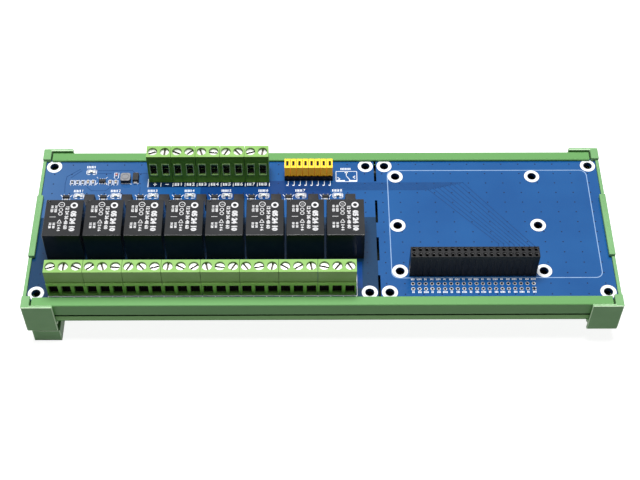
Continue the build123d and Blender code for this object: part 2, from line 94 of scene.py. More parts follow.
BOARD_TOP = node_box("circuit_board")[1].z
RAIL_BOTTOM = node_box("carrier_profile")[0].z
RAIL_HALF = node_box("carrier_profile")[1].y


class Bench:
    """Modelling steps that the sub-assemblies share, done with Blender's operators."""

    @staticmethod
    def clear() -> None:
        """Deselect everything."""
        bpy.ops.object.select_all(action="DESELECT")

    @staticmethod
    def take(piece: Piece) -> None:
        """Make one piece the only chosen and the active one.

        Args:
            piece: The piece to select.
        """
        Bench.clear()
        piece.select_set(True)
        bpy.context.view_layer.objects.active = piece

    @staticmethod
    def fix_place(piece: Piece) -> None:
        """Move a piece's place, turn and size into its mesh."""
        Bench.take(piece)
        bpy.ops.object.transform_apply(location=True, rotation=True, scale=True)

    @staticmethod
    def block(name: str, low: Sequence[float], high: Sequence[float]) -> Piece:
        """Add a cuboid.

        Args:
            name: Name of the piece.
            low: Its lowest corner.
            high: Its highest corner.

        Returns:
            The new piece.
        """
        Bench.clear()
        middle = (Vector(low) + Vector(high)) / 2
        bpy.ops.mesh.primitive_cube_add(size=MM, location=middle * MM)
        piece = bpy.context.object
        piece.name = name
        piece.scale = Vector(high) - Vector(low)
        Bench.fix_place(piece)
        return piece

    @staticmethod
    def bar(name: str, x: float, width: float, ys: Pair, zs: Pair) -> Piece:
        """Add a cuboid of some width about some X, between two places along Y and along Z."""
        return Bench.block(name, (x - width / 2, ys[0], zs[0]), (x + width / 2, ys[1], zs[1]))

    @staticmethod
    def rod(name: str, base: Sequence[float], radius: float, height: float, sides: int) -> Piece:
        """Add an upright cylinder.

        Args:
            name: Name of the piece.
            base: Middle of its lower face.
            radius: Its radius.
            height: Its height.
            sides: Number of its sides.

        Returns:
            The new piece.
        """
        Bench.clear()
        middle = Vector(base) + Vector((0, 0, height / 2))
        bpy.ops.mesh.primitive_cylinder_add(
            vertices=sides, radius=radius * MM, depth=height * MM, location=middle * MM
        )
        piece = bpy.context.object
        piece.name = name
        Bench.fix_place(piece)
        return piece

    @staticmethod
    @contextmanager
    def edit(piece: Piece, test: FaceTest | None = None) -> Iterator[None]:
        """Open a piece in edit mode with some of its faces chosen, and close it again.

        Args:
            piece: The piece to open.
            test: Tells from a face's middle and its normal whether the face is chosen. None chooses all.

        Yields:
            Nothing, while the piece is in edit mode.
        """
        Bench.take(piece)
        bpy.ops.object.mode_set(mode="EDIT")
        bpy.ops.mesh.select_mode(type="FACE")
        bpy.ops.mesh.select_all(action="DESELECT")
        bpy.ops.object.mode_set(mode="OBJECT")
        for face in piece.data.polygons:
            face.select = test is None or test(face.center / MM, face.normal)
        bpy.ops.object.mode_set(mode="EDIT")
        yield
        bpy.ops.object.mode_set(mode="OBJECT")

    @staticmethod
    def taper_top(piece: Piece, share: Pair) -> None:
        """Draw a piece's top face in towards its middle, to a share of its length and width."""
        with Bench.edit(piece, lambda middle, normal: normal.z > 0.9):
            bpy.ops.transform.resize(value=(*share, 1.0))

    @staticmethod
    def slice_off(piece: Piece, point: Sequence[float], normal: Sequence[float]) -> None:
        """Cut off and close what lies beyond a plane.

        Args:
            piece: The piece to cut.
            point: A point of the plane.
            normal: The plane's normal, towards what is cut off.
        """
        plane = {"plane_co": Vector(point) * MM, "plane_no": Vector(normal).normalized()}
        with Bench.edit(piece):
            bpy.ops.mesh.bisect(**plane, use_fill=True, clear_outer=True)

    @staticmethod
    def use_modifier(piece: Piece, kind: str, **settings: object) -> None:
        """Add one modifier with its settings and apply it.

        Args:
            piece: The piece to change.
            kind: Blender's name for the modifier's type.
            **settings: The modifier's settings.
        """
        Bench.take(piece)
        modifier = piece.modifiers.new(kind.title(), kind)
        for key, value in settings.items():
            setattr(modifier, key, value)
        bpy.ops.object.modifier_apply(modifier=modifier.name)

    @staticmethod
    def round_edges(
        piece: Piece, width: float, segments: int = 2, angle: float = 35.0, held: bool = True
    ) -> None:
        """Round a piece's sharp edges and shade it smooth between them.

        Args:
            piece: The piece to finish.
            width: Width of the rounding.
            segments: Number of steps across it.
            angle: Least angle in degrees of an edge that is rounded.
            held: Whether the rounding is kept under the width where two of them would meet.
        """
        Bench.use_modifier(
            piece,
            "BEVEL",
            width=width * MM,
            segments=segments,
            limit_method="ANGLE",
            angle_limit=math.radians(angle),
            use_clamp_overlap=held,
        )
        bpy.ops.object.shade_smooth_by_angle(angle=math.radians(40))
        Bench.use_modifier(piece, "WEIGHTED_NORMAL", keep_sharp=True)

    @staticmethod
    def join(pieces: Sequence[Piece], name: str) -> Piece:
        """Join pieces into one mesh and name it.

        Args:
            pieces: The pieces, of which the first takes in the others.
            name: Name of the whole.

        Returns:
            The joined piece.
        """
        Bench.clear()
        for piece in pieces:
            piece.select_set(True)
        bpy.context.view_layer.objects.active = pieces[0]
        if len(pieces) > 1:
            bpy.ops.object.join()
        joined = bpy.context.object
        joined.name = name
        return joined

    @staticmethod
    def combine(piece: Piece, operation: str, tools: Sequence[Piece]) -> None:
        """Cut tools out of a piece or unite them with it, and remove them.

        Args:
            piece: The piece that stays.
            operation: DIFFERENCE to cut or UNION to unite.
            tools: The pieces that are used up.
        """
        tool = Bench.join(tools, "tool")
        overlaps = operation == "DIFFERENCE"
        Bench.use_modifier(
            piece, "BOOLEAN", operation=operation, solver="EXACT", use_self=overlaps, object=tool
        )
        bpy.data.objects.remove(tool)

    @staticmethod
    def twin(piece: Piece, name: str, move: Sequence[float], turn: float = 0.0) -> Piece:
        """Copy a piece with a mesh of its own.

        Args:
            piece: The piece to copy.
            name: Name of the copy.
            move: How far the copy stands from the first piece.
            turn: Its turn in degrees about the Z axis through the origin, made before the move.

        Returns:
            The copy.
        """
        Bench.take(piece)
        bpy.ops.object.duplicate(linked=False)
        copy = bpy.context.object
        copy.name = name
        copy.location = Vector(move) * MM
        copy.rotation_euler.z = math.radians(turn)
        Bench.fix_place(copy)
        return copy

    @staticmethod
    def repeat(
        master: Piece, name: str, node: str, count: int, finish: "Finish", stands: bool = True
    ) -> None:
        """Copy a piece to each node of a numbered row, settle the copies and remove the piece.

        Args:
            master: The piece, which stands at the row's first node.
            name: Start of the copies' names.
            node: Start of the nodes' names.
            count: Number of nodes.
            finish: Finish of the copies.
            stands: Whether the copies stand for the nodes.
        """
        first = node_box(f"{node}_1")[0]
        for number in range(1, count + 1):
            move = node_box(f"{node}_{number}")[0] - first
            copy = Bench.twin(master, f"{name}_{number}", move)
            Bench.settle(copy, finish, [f"{node}_{number}"] if stands else [])
        bpy.data.objects.remove(master)

    @staticmethod
    def from_node(node: str, name: str) -> Piece:
        """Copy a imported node's mesh as one closed skin with whole flat faces.

        Args:
            node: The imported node.
            name: Name of the copy.

        Returns:
            The copy, which stands where the node does.
        """
        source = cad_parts[node]
        copy = bpy.data.objects.new(name, source.data.copy())
        bpy.context.collection.objects.link(copy)
        copy.data.materials.clear()
        with Bench.edit(copy):
            bpy.ops.mesh.remove_doubles(threshold=0.002 * MM)
            bpy.ops.mesh.dissolve_limited(angle_limit=math.radians(1.0))
        return copy

    @staticmethod
    def coat(piece: Piece, base: "Finish", *coats: tuple["Finish", FaceTest]) -> None:
        """Give a piece its material and some of its faces another one.

        Args:
            piece: The piece to coat.
            base: Finish of the faces that no test picks.
            coats: Other finishes, each with the test of its faces. A later one covers an earlier one.
        """
        for finish in (base, *(finish for finish, _ in coats)):
            piece.data.materials.append(finish.material())
        for face in piece.data.polygons:
            for index, (_, test) in enumerate(coats, 1):
                if test(face.center / MM, face.normal):
                    face.material_index = index

    @staticmethod
    def settle(piece: Piece, finish: "Finish", nodes: Sequence[str] = ()) -> None:
        """Give a finished piece its material and its place in the frame.

        Args:
            piece: The finished piece.
            finish: Its finish, for faces that have none yet.
            nodes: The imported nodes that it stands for.
        """
        if not piece.data.materials:
            piece.data.materials.append(finish.material())
        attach(piece, BODY)
        if nodes:
            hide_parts(*nodes)
        log.info("%s: %d faces", piece.name, len(piece.data.polygons))

    @staticmethod
    def dress(node: str, finish: "Finish") -> None:
        """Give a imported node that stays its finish.

        Args:
            node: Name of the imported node.
            finish: Its finish.
        """
        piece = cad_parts[node]
        if not piece.material_slots:
            piece.data.materials.append(None)
        for slot in piece.material_slots:
            slot.material = finish.material()
        log.info("%s: dressed", node)


class NodeDesk:
    """One material's node tree, with short ways to add to it."""

    def __init__(self, name: str) -> None:
        """Start a material with its shader and the object's own coordinates.

        Args:
            name: Name of the material.
        """
        self.made = bpy.data.materials.new(name)
        self.made.use_nodes = True
        self.tree = self.made.node_tree
        self.shader = self.tree.nodes["Principled BSDF"]
        self.place = self.tree.nodes.new("ShaderNodeTexCoord").outputs["Object"]

    def feed(self, socket: Plug, value: object) -> None:
        """Link a socket to another, or set its value.

        Args:
            socket: The socket to feed.
            value: A node's output or a plain value.
        """
        if isinstance(value, Plug):
            self.tree.links.new(value, socket)
        else:
            socket.default_value = value

    def sum(self, operation: str, first: object, second: object = 0.0) -> Plug:
        """Add a maths node and give its result.

        Args:
            operation: Blender's name for the sum.
            first: First value.
            second: Second value.

        Returns:
            Its result.
        """
        node = self.tree.nodes.new("ShaderNodeMath")
        node.operation = operation
        self.feed(node.inputs[0], first)
        self.feed(node.inputs[1], second)
        return node.outputs[0]

    def axes(self) -> tuple[Plug, Plug, Plug]:
        """Give the X, Y and Z of the object's own coordinates, in metres.

        Returns:
            The X, the Y and the Z.
        """
        node = self.tree.nodes.new("ShaderNodeSeparateXYZ")
        self.feed(node.inputs[0], self.place)
        return node.outputs[0], node.outputs[1], node.outputs[2]

    def between(self, value: Plug, low: float, high: float) -> Plug:
        """Give a mask that is 1 where a coordinate lies between two sizes in millimetres."""
        above = self.sum("GREATER_THAN", value, low * MM)
        return self.sum("MULTIPLY", above, self.sum("LESS_THAN", value, high * MM))

    def noise(self, scale: float, detail: float, stretch: Triple) -> Plug:
        """Add a noise texture.

        Args:
            scale: Number of its patches for each metre.
            detail: Its finer steps.
            stretch: Scale along each axis, less than 1 for a pattern drawn out along it.

        Returns:
            Its grey value.
        """
        mapping = self.tree.nodes.new("ShaderNodeMapping")
        self.feed(mapping.inputs["Vector"], self.place)
        mapping.inputs["Scale"].default_value = stretch
        texture = self.tree.nodes.new("ShaderNodeTexNoise")
        self.feed(texture.inputs["Vector"], mapping.outputs[0])
        texture.inputs["Scale"].default_value = scale
        texture.inputs["Detail"].default_value = detail
        return texture.outputs["Fac"]

    def mix(self, share: object, first: object, second: object) -> Plug:
        """Blend two colours and give the result.

        Args:
            share: Share of the second colour.
            first: First colour.
            second: Second colour.

        Returns:
            The blended colour.
        """
        node = self.tree.nodes.new("ShaderNodeMix")
        node.data_type = "RGBA"
        self.feed(node.inputs["Factor"], share)
        self.feed(node.inputs[6], first)
        self.feed(node.inputs[7], second)
        return node.outputs[2]

    def steps(self, value: object, low: float, high: float, start: float, end: float) -> Plug:
        """Spread a value from one range onto another, held at its ends.

        Args:
            value: The value to spread.
            low: Start of its range.
            high: End of its range.
            start: Result at the start.
            end: Result at the end.

        Returns:
            The spread value.
        """
        node = self.tree.nodes.new("ShaderNodeMapRange")
        self.feed(node.inputs["Value"], value)
        for name, number in zip(("From Min", "From Max", "To Min", "To Max"), (low, high, start, end)):
            node.inputs[name].default_value = number
        return node.outputs[0]

    def bump(self, height: object, depth: float) -> None:
        """Lift the surface by a grey value, to a depth in millimetres.

        Args:
            height: The grey value.
            depth: Depth of the relief.
        """
        node = self.tree.nodes.new("ShaderNodeBump")
        self.feed(node.inputs["Height"], height)
        node.inputs["Distance"].default_value = depth * MM
        self.feed(self.shader.inputs["Normal"], node.outputs[0])


@dataclass(frozen=True)
class Finish:
    """A finish whose colour drifts a little and whose surface has a fine grain."""

    name: str
    slot: str
    colour: Colour
    drift: Colour
    roughness: float = 0.45
    metallic: float = 0.0
    specular: float = 0.3
    see_through: float = 0.0
    # Emission strength: painted light, which only the jumper caps use.
    glow: float = 0.0
    glow_colour: Colour = paint(255, 178, 0)
    patches: float = 90.0
    grain: float = 4000.0
    grain_depth: float = 0.004
    stretch: Triple = (1.0, 1.0, 1.0)

    def material(self) -> bpy.types.Material:
        """Give the finish's material, made on first use.

        Returns:
            The material, which is made once.
        """
        known = bpy.data.materials.get(self.name)
        if known:
            return known
        desk = NodeDesk(self.name)
        shader = desk.shader.inputs
        desk.feed(shader["Base Color"], self.shade(desk))
        grain = desk.noise(self.grain, 2.0, self.stretch)
        spread = (self.roughness - 0.05, self.roughness + 0.05)
        desk.feed(shader["Roughness"], desk.steps(grain, 0.3, 0.7, *spread))
        shader["Metallic"].default_value = self.metallic
        shader["Specular IOR Level"].default_value = self.specular
        shader["Transmission Weight"].default_value = self.see_through
        shader["Emission Color"].default_value = self.glow_colour
        shader["Emission Strength"].default_value = self.glow
        desk.bump(grain, self.grain_depth)
        return desk.made

    def shade(self, desk: NodeDesk) -> Plug:
        """Lay out the finish's colour and give it."""
        patches = desk.steps(desk.noise(self.patches, 4.0, self.stretch), 0.35, 0.65, 0.0, 1.0)
        return desk.mix(patches, self.colour, self.drift)


@dataclass(frozen=True)
class Zone:
    """A stretch of the board with another colour."""

    low: Pair
    high: Pair
    colour: Colour


@dataclass(frozen=True)
class SolderMask(Finish):
    """Blue mask over copper, with zones without copper, zones of painted shade and reflection, a painted
    sheen towards its left end and a grid of small plated holes.
    """

    zones: tuple[Zone, ...] = ()
    hole_pitch: Pair = (7.3, 5.15)
    hole_radius: float = 0.3
    skin: float = 0.2
    hole_colour: Colour = paint(12, 28, 62)
    # Painted sheen: the mask turns paler and greyer towards the left end.
    sheen_colour: Colour = paint(106, 132, 160)
    sheen_share: float = 0.26
    sheen_from: float = -60.0
    sheen_to: float = -116.0

    def inside(self, desk: NodeDesk, zone: Zone) -> Plug:
        """Give a mask that is 1 inside a zone.

        Args:
            desk: The material's node tree.
            zone: The zone.

        Returns:
            The mask.
        """
        x, y, _ = desk.axes()
        across = desk.between(x, zone.low[0], zone.high[0])
        return desk.sum("MULTIPLY", across, desk.between(y, zone.low[1], zone.high[1]))

    def holes(self, desk: NodeDesk) -> Plug:
        """Give a mask that is 1 on the small plated holes.

        Args:
            desk: The material's node tree.

        Returns:
            The mask.
        """
        x, y, _ = desk.axes()
        from_middle = []
        for place, pitch in zip((x, y), self.hole_pitch):
            wrapped = desk.sum("FRACT", desk.sum("DIVIDE", place, pitch * MM))
            from_middle.append(desk.sum("MULTIPLY", desk.sum("SUBTRACT", wrapped, 0.5), pitch))
        squares = [desk.sum("MULTIPLY", offset, offset) for offset in from_middle]
        return desk.sum("LESS_THAN", desk.sum("ADD", *squares), self.hole_radius**2)

    def shade(self, desk: NodeDesk) -> Plug:
        """Lay out the mask's colours and give them.

        Args:
            desk: The material's node tree.

        Returns:
            The colour.
        """
        x, _, z = desk.axes()
        # Painted sheen towards the left end.
        pale = desk.steps(x, self.sheen_to * MM, self.sheen_from * MM, self.sheen_share, 0.0)
        colour = desk.mix(pale, super().shade(desk), self.sheen_colour)
        for zone in self.zones:
            colour = desk.mix(self.inside(desk, zone), colour, zone.colour)
        colour = desk.mix(self.holes(desk), colour, self.hole_colour)
        upper = desk.sum("GREATER_THAN", z, (BOARD_TOP - self.skin) * MM)
        return desk.mix(upper, self.drift, colour)


@dataclass(frozen=True)
class Extrusion(Finish):
    """Streaked extruded plastic, with a painted highlight on its lower bands and painted shade in its grooves
    and closed channel.
    """

    # Painted shade of the closed channel under the board.
    inside_shade_colour: Colour = paint(16, 26, 16)
    inside_half: float = 38.0
    inside_top: float = 21.0
    inside_floor: float = 14.6
    # Painted shade in the long outer grooves.
    groove_shade_colour: Colour = paint(38, 68, 32)
    groove_inset: float = 0.4
    groove_low: float = 2.5
    groove_high: float = 4.2
    # Painted highlight on the outer face of the lower strip.
    band_highlight_colour: Colour = paint(160, 212, 140)
    band_inset: float = 1.0
    band_low: float = 0.6

    def within(self, desk: NodeDesk, half: float, low: float, high: float) -> Plug:
        """Give a mask that is 1 nearer to the middle plane than a width, between two heights.

        Args:
            desk: The material's node tree.
            half: Distance from the middle plane.
            low: Lower height.
            high: Upper height.

        Returns:
            The mask.
        """
        _, y, z = desk.axes()
        near = desk.sum("LESS_THAN", desk.sum("ABSOLUTE", y), half * MM)
        return desk.sum("MULTIPLY", near, desk.between(z, low, high))

    def shade(self, desk: NodeDesk) -> Plug:
        """Lay out the streaks, the painted highlight on the lower bands, the painted shade in the grooves and
        in the closed channel, and give the colour.

        Args:
            desk: The material's node tree.

        Returns:
            The colour.
        """
        low, high = RAIL_BOTTOM + self.groove_low, RAIL_BOTTOM + self.groove_high
        foot = RAIL_BOTTOM + self.band_low
        inner = self.within(desk, RAIL_HALF - self.band_inset, foot, low)
        band = desk.sum("SUBTRACT", self.within(desk, RAIL_HALF + 1, foot, low), inner)
        groove = self.within(desk, RAIL_HALF - self.groove_inset, low, high)
        # Painted highlight: the outer face of the lower strip is made paler.
        colour = desk.mix(band, super().shade(desk), self.band_highlight_colour)
        # Painted shade: the groove is darkened.
        colour = desk.mix(groove, colour, self.groove_shade_colour)
        # Painted shade: the closed channel under the board is darkened.
        inside = self.within(desk, self.inside_half, self.inside_floor, self.inside_top)
        return desk.mix(inside, colour, self.inside_shade_colour)


RAIL_GREEN = Extrusion(
    "rail_green", "extruded_plastic", paint(111, 163, 102), paint(102, 154, 92),
    roughness=0.42, specular=0.15, patches=30.0, grain=1800.0, grain_depth=0.006, stretch=(0.02, 1.0, 1.0),
)
MOULD_GREEN = Finish(
    "mould_green", "moulded_plastic", paint(125, 172, 118), paint(117, 164, 110),
    roughness=0.42, specular=0.15, grain=2600.0, grain_depth=0.006,
)
# Painted highlight: a pale coat on the rounded front and rear edges of the end pieces.
MOULD_EDGE_HIGHLIGHT = replace(
    MOULD_GREEN, name="mould_edge_highlight", colour=paint(222, 250, 212), drift=paint(212, 242, 202)
)
BLOCK_GREEN = Finish(
    "block_green", "block_plastic", paint(143, 186, 108), paint(134, 178, 98),
    roughness=0.34, specular=0.15, grain=3000.0, grain_depth=0.004,
)
RELAY_CASE = Finish(
    "relay_case", "relay_plastic", paint(42, 43, 45), paint(34, 35, 37),
    roughness=0.2, specular=0.3, grain=3500.0, grain_depth=0.003,
)
HEADER_BLACK = Finish(
    "header_black", "header_plastic", paint(21, 21, 23), paint(14, 14, 16),
    roughness=0.4, specular=0.22, grain=3000.0,
)
# Painted light: the caps glow a little so that their fronts look lit.
JUMPER_YELLOW_GLOW = Finish(
    "jumper_yellow_glow", "jumper_plastic", paint(255, 212, 60), paint(253, 204, 50),
    roughness=0.4, specular=0.3, glow=0.22,
)
# Painted highlight on the raised window rims.
BLOCK_RIM_HIGHLIGHT = Finish(
    "block_rim_highlight", "block_plastic", paint(206, 240, 168), paint(196, 232, 156), roughness=0.4, patches=300.0,
)
# Painted shade: a darker green for the leaning rear faces.
BLOCK_BACK_SHADE = Finish(
    "block_back_shade", "block_plastic", paint(112, 170, 58), paint(102, 161, 50), roughness=0.4, specular=0.1,
)
# Painted light: a lighter green for the front that holds the wire entries.
BLOCK_FACE_PAINTED_LIGHT = Finish(
    "block_face_painted_light", "block_plastic", paint(158, 218, 112), paint(148, 210, 100), roughness=0.34, specular=0.15,
)
PACKAGE_GREY = Finish(
    "package_grey", "package_plastic", paint(46, 46, 48), paint(38, 38, 40),
    roughness=0.55, specular=0.2, grain=5000.0,
)
FERRITE_GREY = Finish(
    "ferrite_grey", "ferrite", paint(134, 134, 138), paint(116, 116, 120), roughness=0.5, grain=5000.0,
)
CHIP_TAN = Finish(
    "chip_tan", "ceramic", paint(150, 132, 108), paint(128, 110, 88), roughness=0.5, grain=5000.0,
)
CHIP_RED = Finish(
    "chip_red", "ceramic", paint(176, 92, 84), paint(150, 76, 70), roughness=0.5, grain=5000.0,
)
CHIP_DARK = Finish(
    "chip_dark", "ceramic", paint(40, 40, 42), paint(30, 30, 32), roughness=0.4, grain=5000.0,
)
SOLDER = Finish(
    "solder", "plated_steel", paint(222, 222, 222), paint(196, 198, 202),
    roughness=0.28, metallic=0.9, patches=400.0, grain=2500.0, grain_depth=0.01,
)
SCREW_METAL = Finish(
    "screw_metal", "plated_steel", paint(238, 238, 236), paint(214, 214, 212),
    roughness=0.3, metallic=0.85, patches=350.0, grain=3000.0, grain_depth=0.008,
)
# Painted shade: the clamp frames and socket contacts are nearly black, as they look deep in their openings.
CONTACT_SHADE_METAL = Finish(
    "contact_plate_shade", "contact_metal", paint(30, 28, 22), paint(20, 18, 14),
    roughness=0.5, metallic=0.3, specular=0.1, patches=300.0,
)
SLOT_SHADE = Finish(
    "slot_shade", "plated_steel", paint(104, 98, 84), paint(74, 70, 60),
    roughness=0.5, metallic=0.5, patches=300.0,
)
PRINT_WHITE = Finish(
    "print_white", "board_laminate", paint(244, 246, 248), paint(226, 230, 236),
    roughness=0.55, patches=500.0,
)
RELAY_PRINT = Finish(
    "relay_print", "relay_plastic", paint(228, 228, 230), paint(206, 206, 208), roughness=0.6, patches=900.0,
)
OUTLINE_PRINT = Finish(
    "outline_print", "board_laminate", paint(150, 178, 212), paint(134, 164, 202),
    roughness=0.5, patches=300.0,
)
TRACE_BLUE = Finish(
    "trace_blue", "board_laminate", paint(12, 54, 104), paint(16, 60, 112),
    roughness=0.2, specular=0.3, patches=300.0,
)
# Painted shade: black for the inside of the caps' slots and the edge of the board's ringed holes.
HOLE_SHADE = Finish(
    "hole_shade", "header_plastic", paint(10, 10, 12), paint(6, 6, 8), roughness=0.7, grain=3000.0,
)
LAMP_CLEAR = Finish(
    "lamp_clear", "clear_plastic", paint(238, 240, 236), paint(226, 228, 220),
    roughness=0.15, see_through=0.15, patches=600.0,
)
BOARD_BLUE = SolderMask(
    "board_blue", "board_laminate", paint(24, 84, 144), paint(18, 77, 137),
    roughness=0.2, specular=0.3, patches=45.0, grain=1500.0, grain_depth=0.002,
    zones=(
        # The first two zones are mask without copper.
        Zone((-118.0, -37.0), (22.4, 5.2), paint(12, 52, 86)),
        Zone((12.6, -30.5), (16.0, -17.6), paint(8, 58, 122)),
        # Painted shade and reflection: these two zones darken the board in front of the jumpers and the input
        # blocks.
        Zone((-51.0, 15.0), (3.5, 24.6), paint(10, 57, 116)),
        Zone((-73.0, 21.3), (-22.0, 25.4), paint(3, 28, 62)),
    ),
)


@dataclass(frozen=True)
class Figure:
    """A plain number: its place, its height, the thickening of its strokes, its digits and its turn."""

    place: Pair
    height: float
    bold: float
    digits: str = ""
    turn: float = 0.0


@dataclass(frozen=True)
class Word:
    """A row of upright dashes in place of a word: its left end, and the dashes' widths, height and gap."""

    start: Pair
    widths: tuple[float, ...]
    height: float
    gap: float


@dataclass
class Print:
    """Thin raised print laid on a level face, with places counted from an origin."""

    name: str
    level: float
    thickness: float = 0.04
    origin: Pair = (0.0, 0.0)
    strokes: list[Piece] = field(default_factory=list)

    def spot(self, place: Sequence[float]) -> Vector:
        """Give the point of the frame, in metres, that a place of the print lies at."""
        return Vector((place[0] + self.origin[0], place[1] + self.origin[1], self.level)) * MM

    def keep(self) -> Piece:
        """Note the stroke that was just added."""
        self.strokes.append(bpy.context.object)
        return self.strokes[-1]

    def bar(self, middle: Sequence[float], size: Sequence[float], turn: float = 0.0) -> None:
        """Lay a straight bar.

        Args:
            middle: Its middle.
            size: Its length and its width.
            turn: Its turn in degrees.
        """
        Bench.clear()
        angles = (0, 0, math.radians(turn))
        bpy.ops.mesh.primitive_plane_add(size=MM, location=self.spot(middle), rotation=angles)
        self.keep().scale = (*size, 1.0)

    def line(self, start: Pair, end: Pair, width: float) -> None:
        """Lay a bar from one point to another.

        Args:
            start: Where it starts.
            end: Where it ends.
            width: Its width.
        """
        along = Vector(end) - Vector(start)
        turn = math.degrees(math.atan2(along.y, along.x))
        self.bar((Vector(start) + Vector(end)) / 2, (along.length + width, width), turn)

    def draw(self, paths: Paths, sides: Sequence[int] = (1,)) -> None:
        """Lay bent lines.

        Args:
            paths: Each line's points and its width.
            sides: 1 for the lines as they are, and -1 for their mirror images about the origin's X.
        """
        for side in sides:
            for points, width in paths:
                turned = [(side * x, y) for x, y in points]
                for start, end in zip(turned, turned[1:]):
                    self.line(start, end, width)

    def ring(self, middle: Pair, outer: float, inner: float, sides: int = 40) -> None:
        """Lay a flat ring of two diameters.

        Args:
            middle: Its middle.
            outer: Its outer diameter.
            inner: Its inner diameter.
            sides: Number of its sides.
        """
        Bench.clear()
        bpy.ops.mesh.primitive_circle_add(
            vertices=sides, radius=outer * MM / 2, fill_type="NGON", location=self.spot(middle)
        )
        self.keep()
        self.hollow((outer - inner) / 2 * math.cos(math.pi / sides))

    def hollow(self, width: float) -> None:
        """Leave only an edge of some width of the stroke that was just added.

        Args:
            width: Width of the edge.
        """
        with Bench.edit(self.strokes[-1]):
            bpy.ops.mesh.inset(thickness=width * MM)
            bpy.ops.mesh.delete(type="FACE")

    def outline(self, low: Pair, high: Pair, corner: float, width: float) -> None:
        """Lay the outline of a rectangle.

        Args:
            low: Its lowest corner.
            high: Its highest corner.
            corner: Radius of its corners, or 0.
            width: Width of the line.
        """
        self.bar((Vector(low) + Vector(high)) / 2, Vector(high) - Vector(low))
        Bench.fix_place(self.strokes[-1])
        if corner:
            with Bench.edit(self.strokes[-1]):
                bpy.ops.mesh.bevel(offset=corner * MM, segments=8, affect="VERTICES")
        self.hollow(width)

    def number(self, figure: Figure, digits: str = "") -> None:
        """Lay a plain number.

        Args:
            figure: Its place and its look.
            digits: Its digits, where the figure has none.
        """
        Bench.clear()
        angles = (0, 0, math.radians(figure.turn))
        bpy.ops.object.text_add(location=self.spot(figure.place), rotation=angles)
        text = self.keep()
        text.data.body = digits or figure.digits
        text.data.size = figure.height * MM * 1.4
        text.data.offset = figure.bold * MM
        text.data.resolution_u = 3
        text.data.align_x = "CENTER"
        text.data.align_y = "CENTER"
        bpy.ops.object.convert(target="MESH")

    def word(self, word: Word) -> None:
        """Lay a row of upright dashes.

        Args:
            word: Its start and its dashes.
        """
        x, y = word.start
        for width in word.widths:
            self.bar((x + width / 2, y), (width, word.height))
            x += width + word.gap

    def lay(self) -> Piece:
        """Join the strokes, give them their thickness and give the piece.

        Returns:
            The printed piece.
        """
        piece = Bench.join(self.strokes, self.name)
        Bench.fix_place(piece)
        Bench.use_modifier(piece, "SOLIDIFY", thickness=self.thickness * MM, offset=1.0)
        return piece

    def settle(self, finish: Finish) -> None:
        """Lay the print and settle it as a piece of its own."""
        Bench.settle(self.lay(), finish)


@dataclass
class Carrier:
    """Extruded rail carrier with its two moulded end pieces and their screws."""

    rail_rounding: float = 0.22
    mould_rounding: float = 0.3
    screw_rounding: float = 0.2
    edge_slants: Pair = (0.3, 0.97)
    groove_depth: float = 1.2
    groove_low: float = 2.6
    groove_high: float = 4.1

    def grooves(self) -> list[Piece]:
        """Model the tools that deepen the long groove of each outer face.

        Returns:
            The tools.
        """
        low, high = node_box("carrier_profile")
        inner, outer = RAIL_HALF - self.groove_depth, RAIL_HALF + 1
        tools = []
        for near, far in ((-outer, -inner), (inner, outer)):
            start = (low.x - 1, near, low.z + self.groove_low)
            tools.append(Bench.block("groove", start, (high.x + 1, far, low.z + self.groove_high)))
        return tools

    def on_front_edge(self, spot: Vector, normal: Vector) -> bool:
        """Tell whether a face belongs to the rounding of a face that looks to the front or the rear, which
        takes the painted edge highlight.
        """
        least, most = self.edge_slants
        return abs(spot.y) > RAIL_HALF and abs(normal.y) > least and max(map(abs, normal)) < most

    def build(self) -> None:
        """Model and dress the carrier."""
        rail = Bench.from_node("carrier_profile", "carrier_rail")
        Bench.combine(rail, "DIFFERENCE", self.grooves())
        Bench.round_edges(rail, self.rail_rounding)
        Bench.settle(rail, RAIL_GREEN, ["carrier_profile"])
        for side in ("left", "right"):
            mould = Bench.from_node(f"end_piece_{side}", f"end_mould_{side}")
            Bench.round_edges(mould, self.mould_rounding, held=False)
            # The rounded front and rear edges get a painted highlight.
            Bench.coat(mould, MOULD_GREEN, (MOULD_EDGE_HIGHLIGHT, self.on_front_edge))
            Bench.settle(mould, MOULD_GREEN, [f"end_piece_{side}"])
        screws = Bench.from_node("end_screws", "end_piece_screws")
        Bench.round_edges(screws, self.screw_rounding)
        Bench.settle(screws, SCREW_METAL, ["end_screws"])


class Row(Enum):
    """The two rows of screw terminals: node stem, number of blocks and poles of each block."""

    OUTPUT = ("output", 8, 3)
    INPUT = ("input", 5, 2)

    def __init__(self, stem: str, blocks: int, poles: int) -> None:
        """Name what each row holds.

        Args:
            stem: Start of the row's node names.
            blocks: Number of its blocks.
            poles: Number of poles of a block.
        """
        self.stem = stem
        self.blocks = blocks
        self.poles = poles


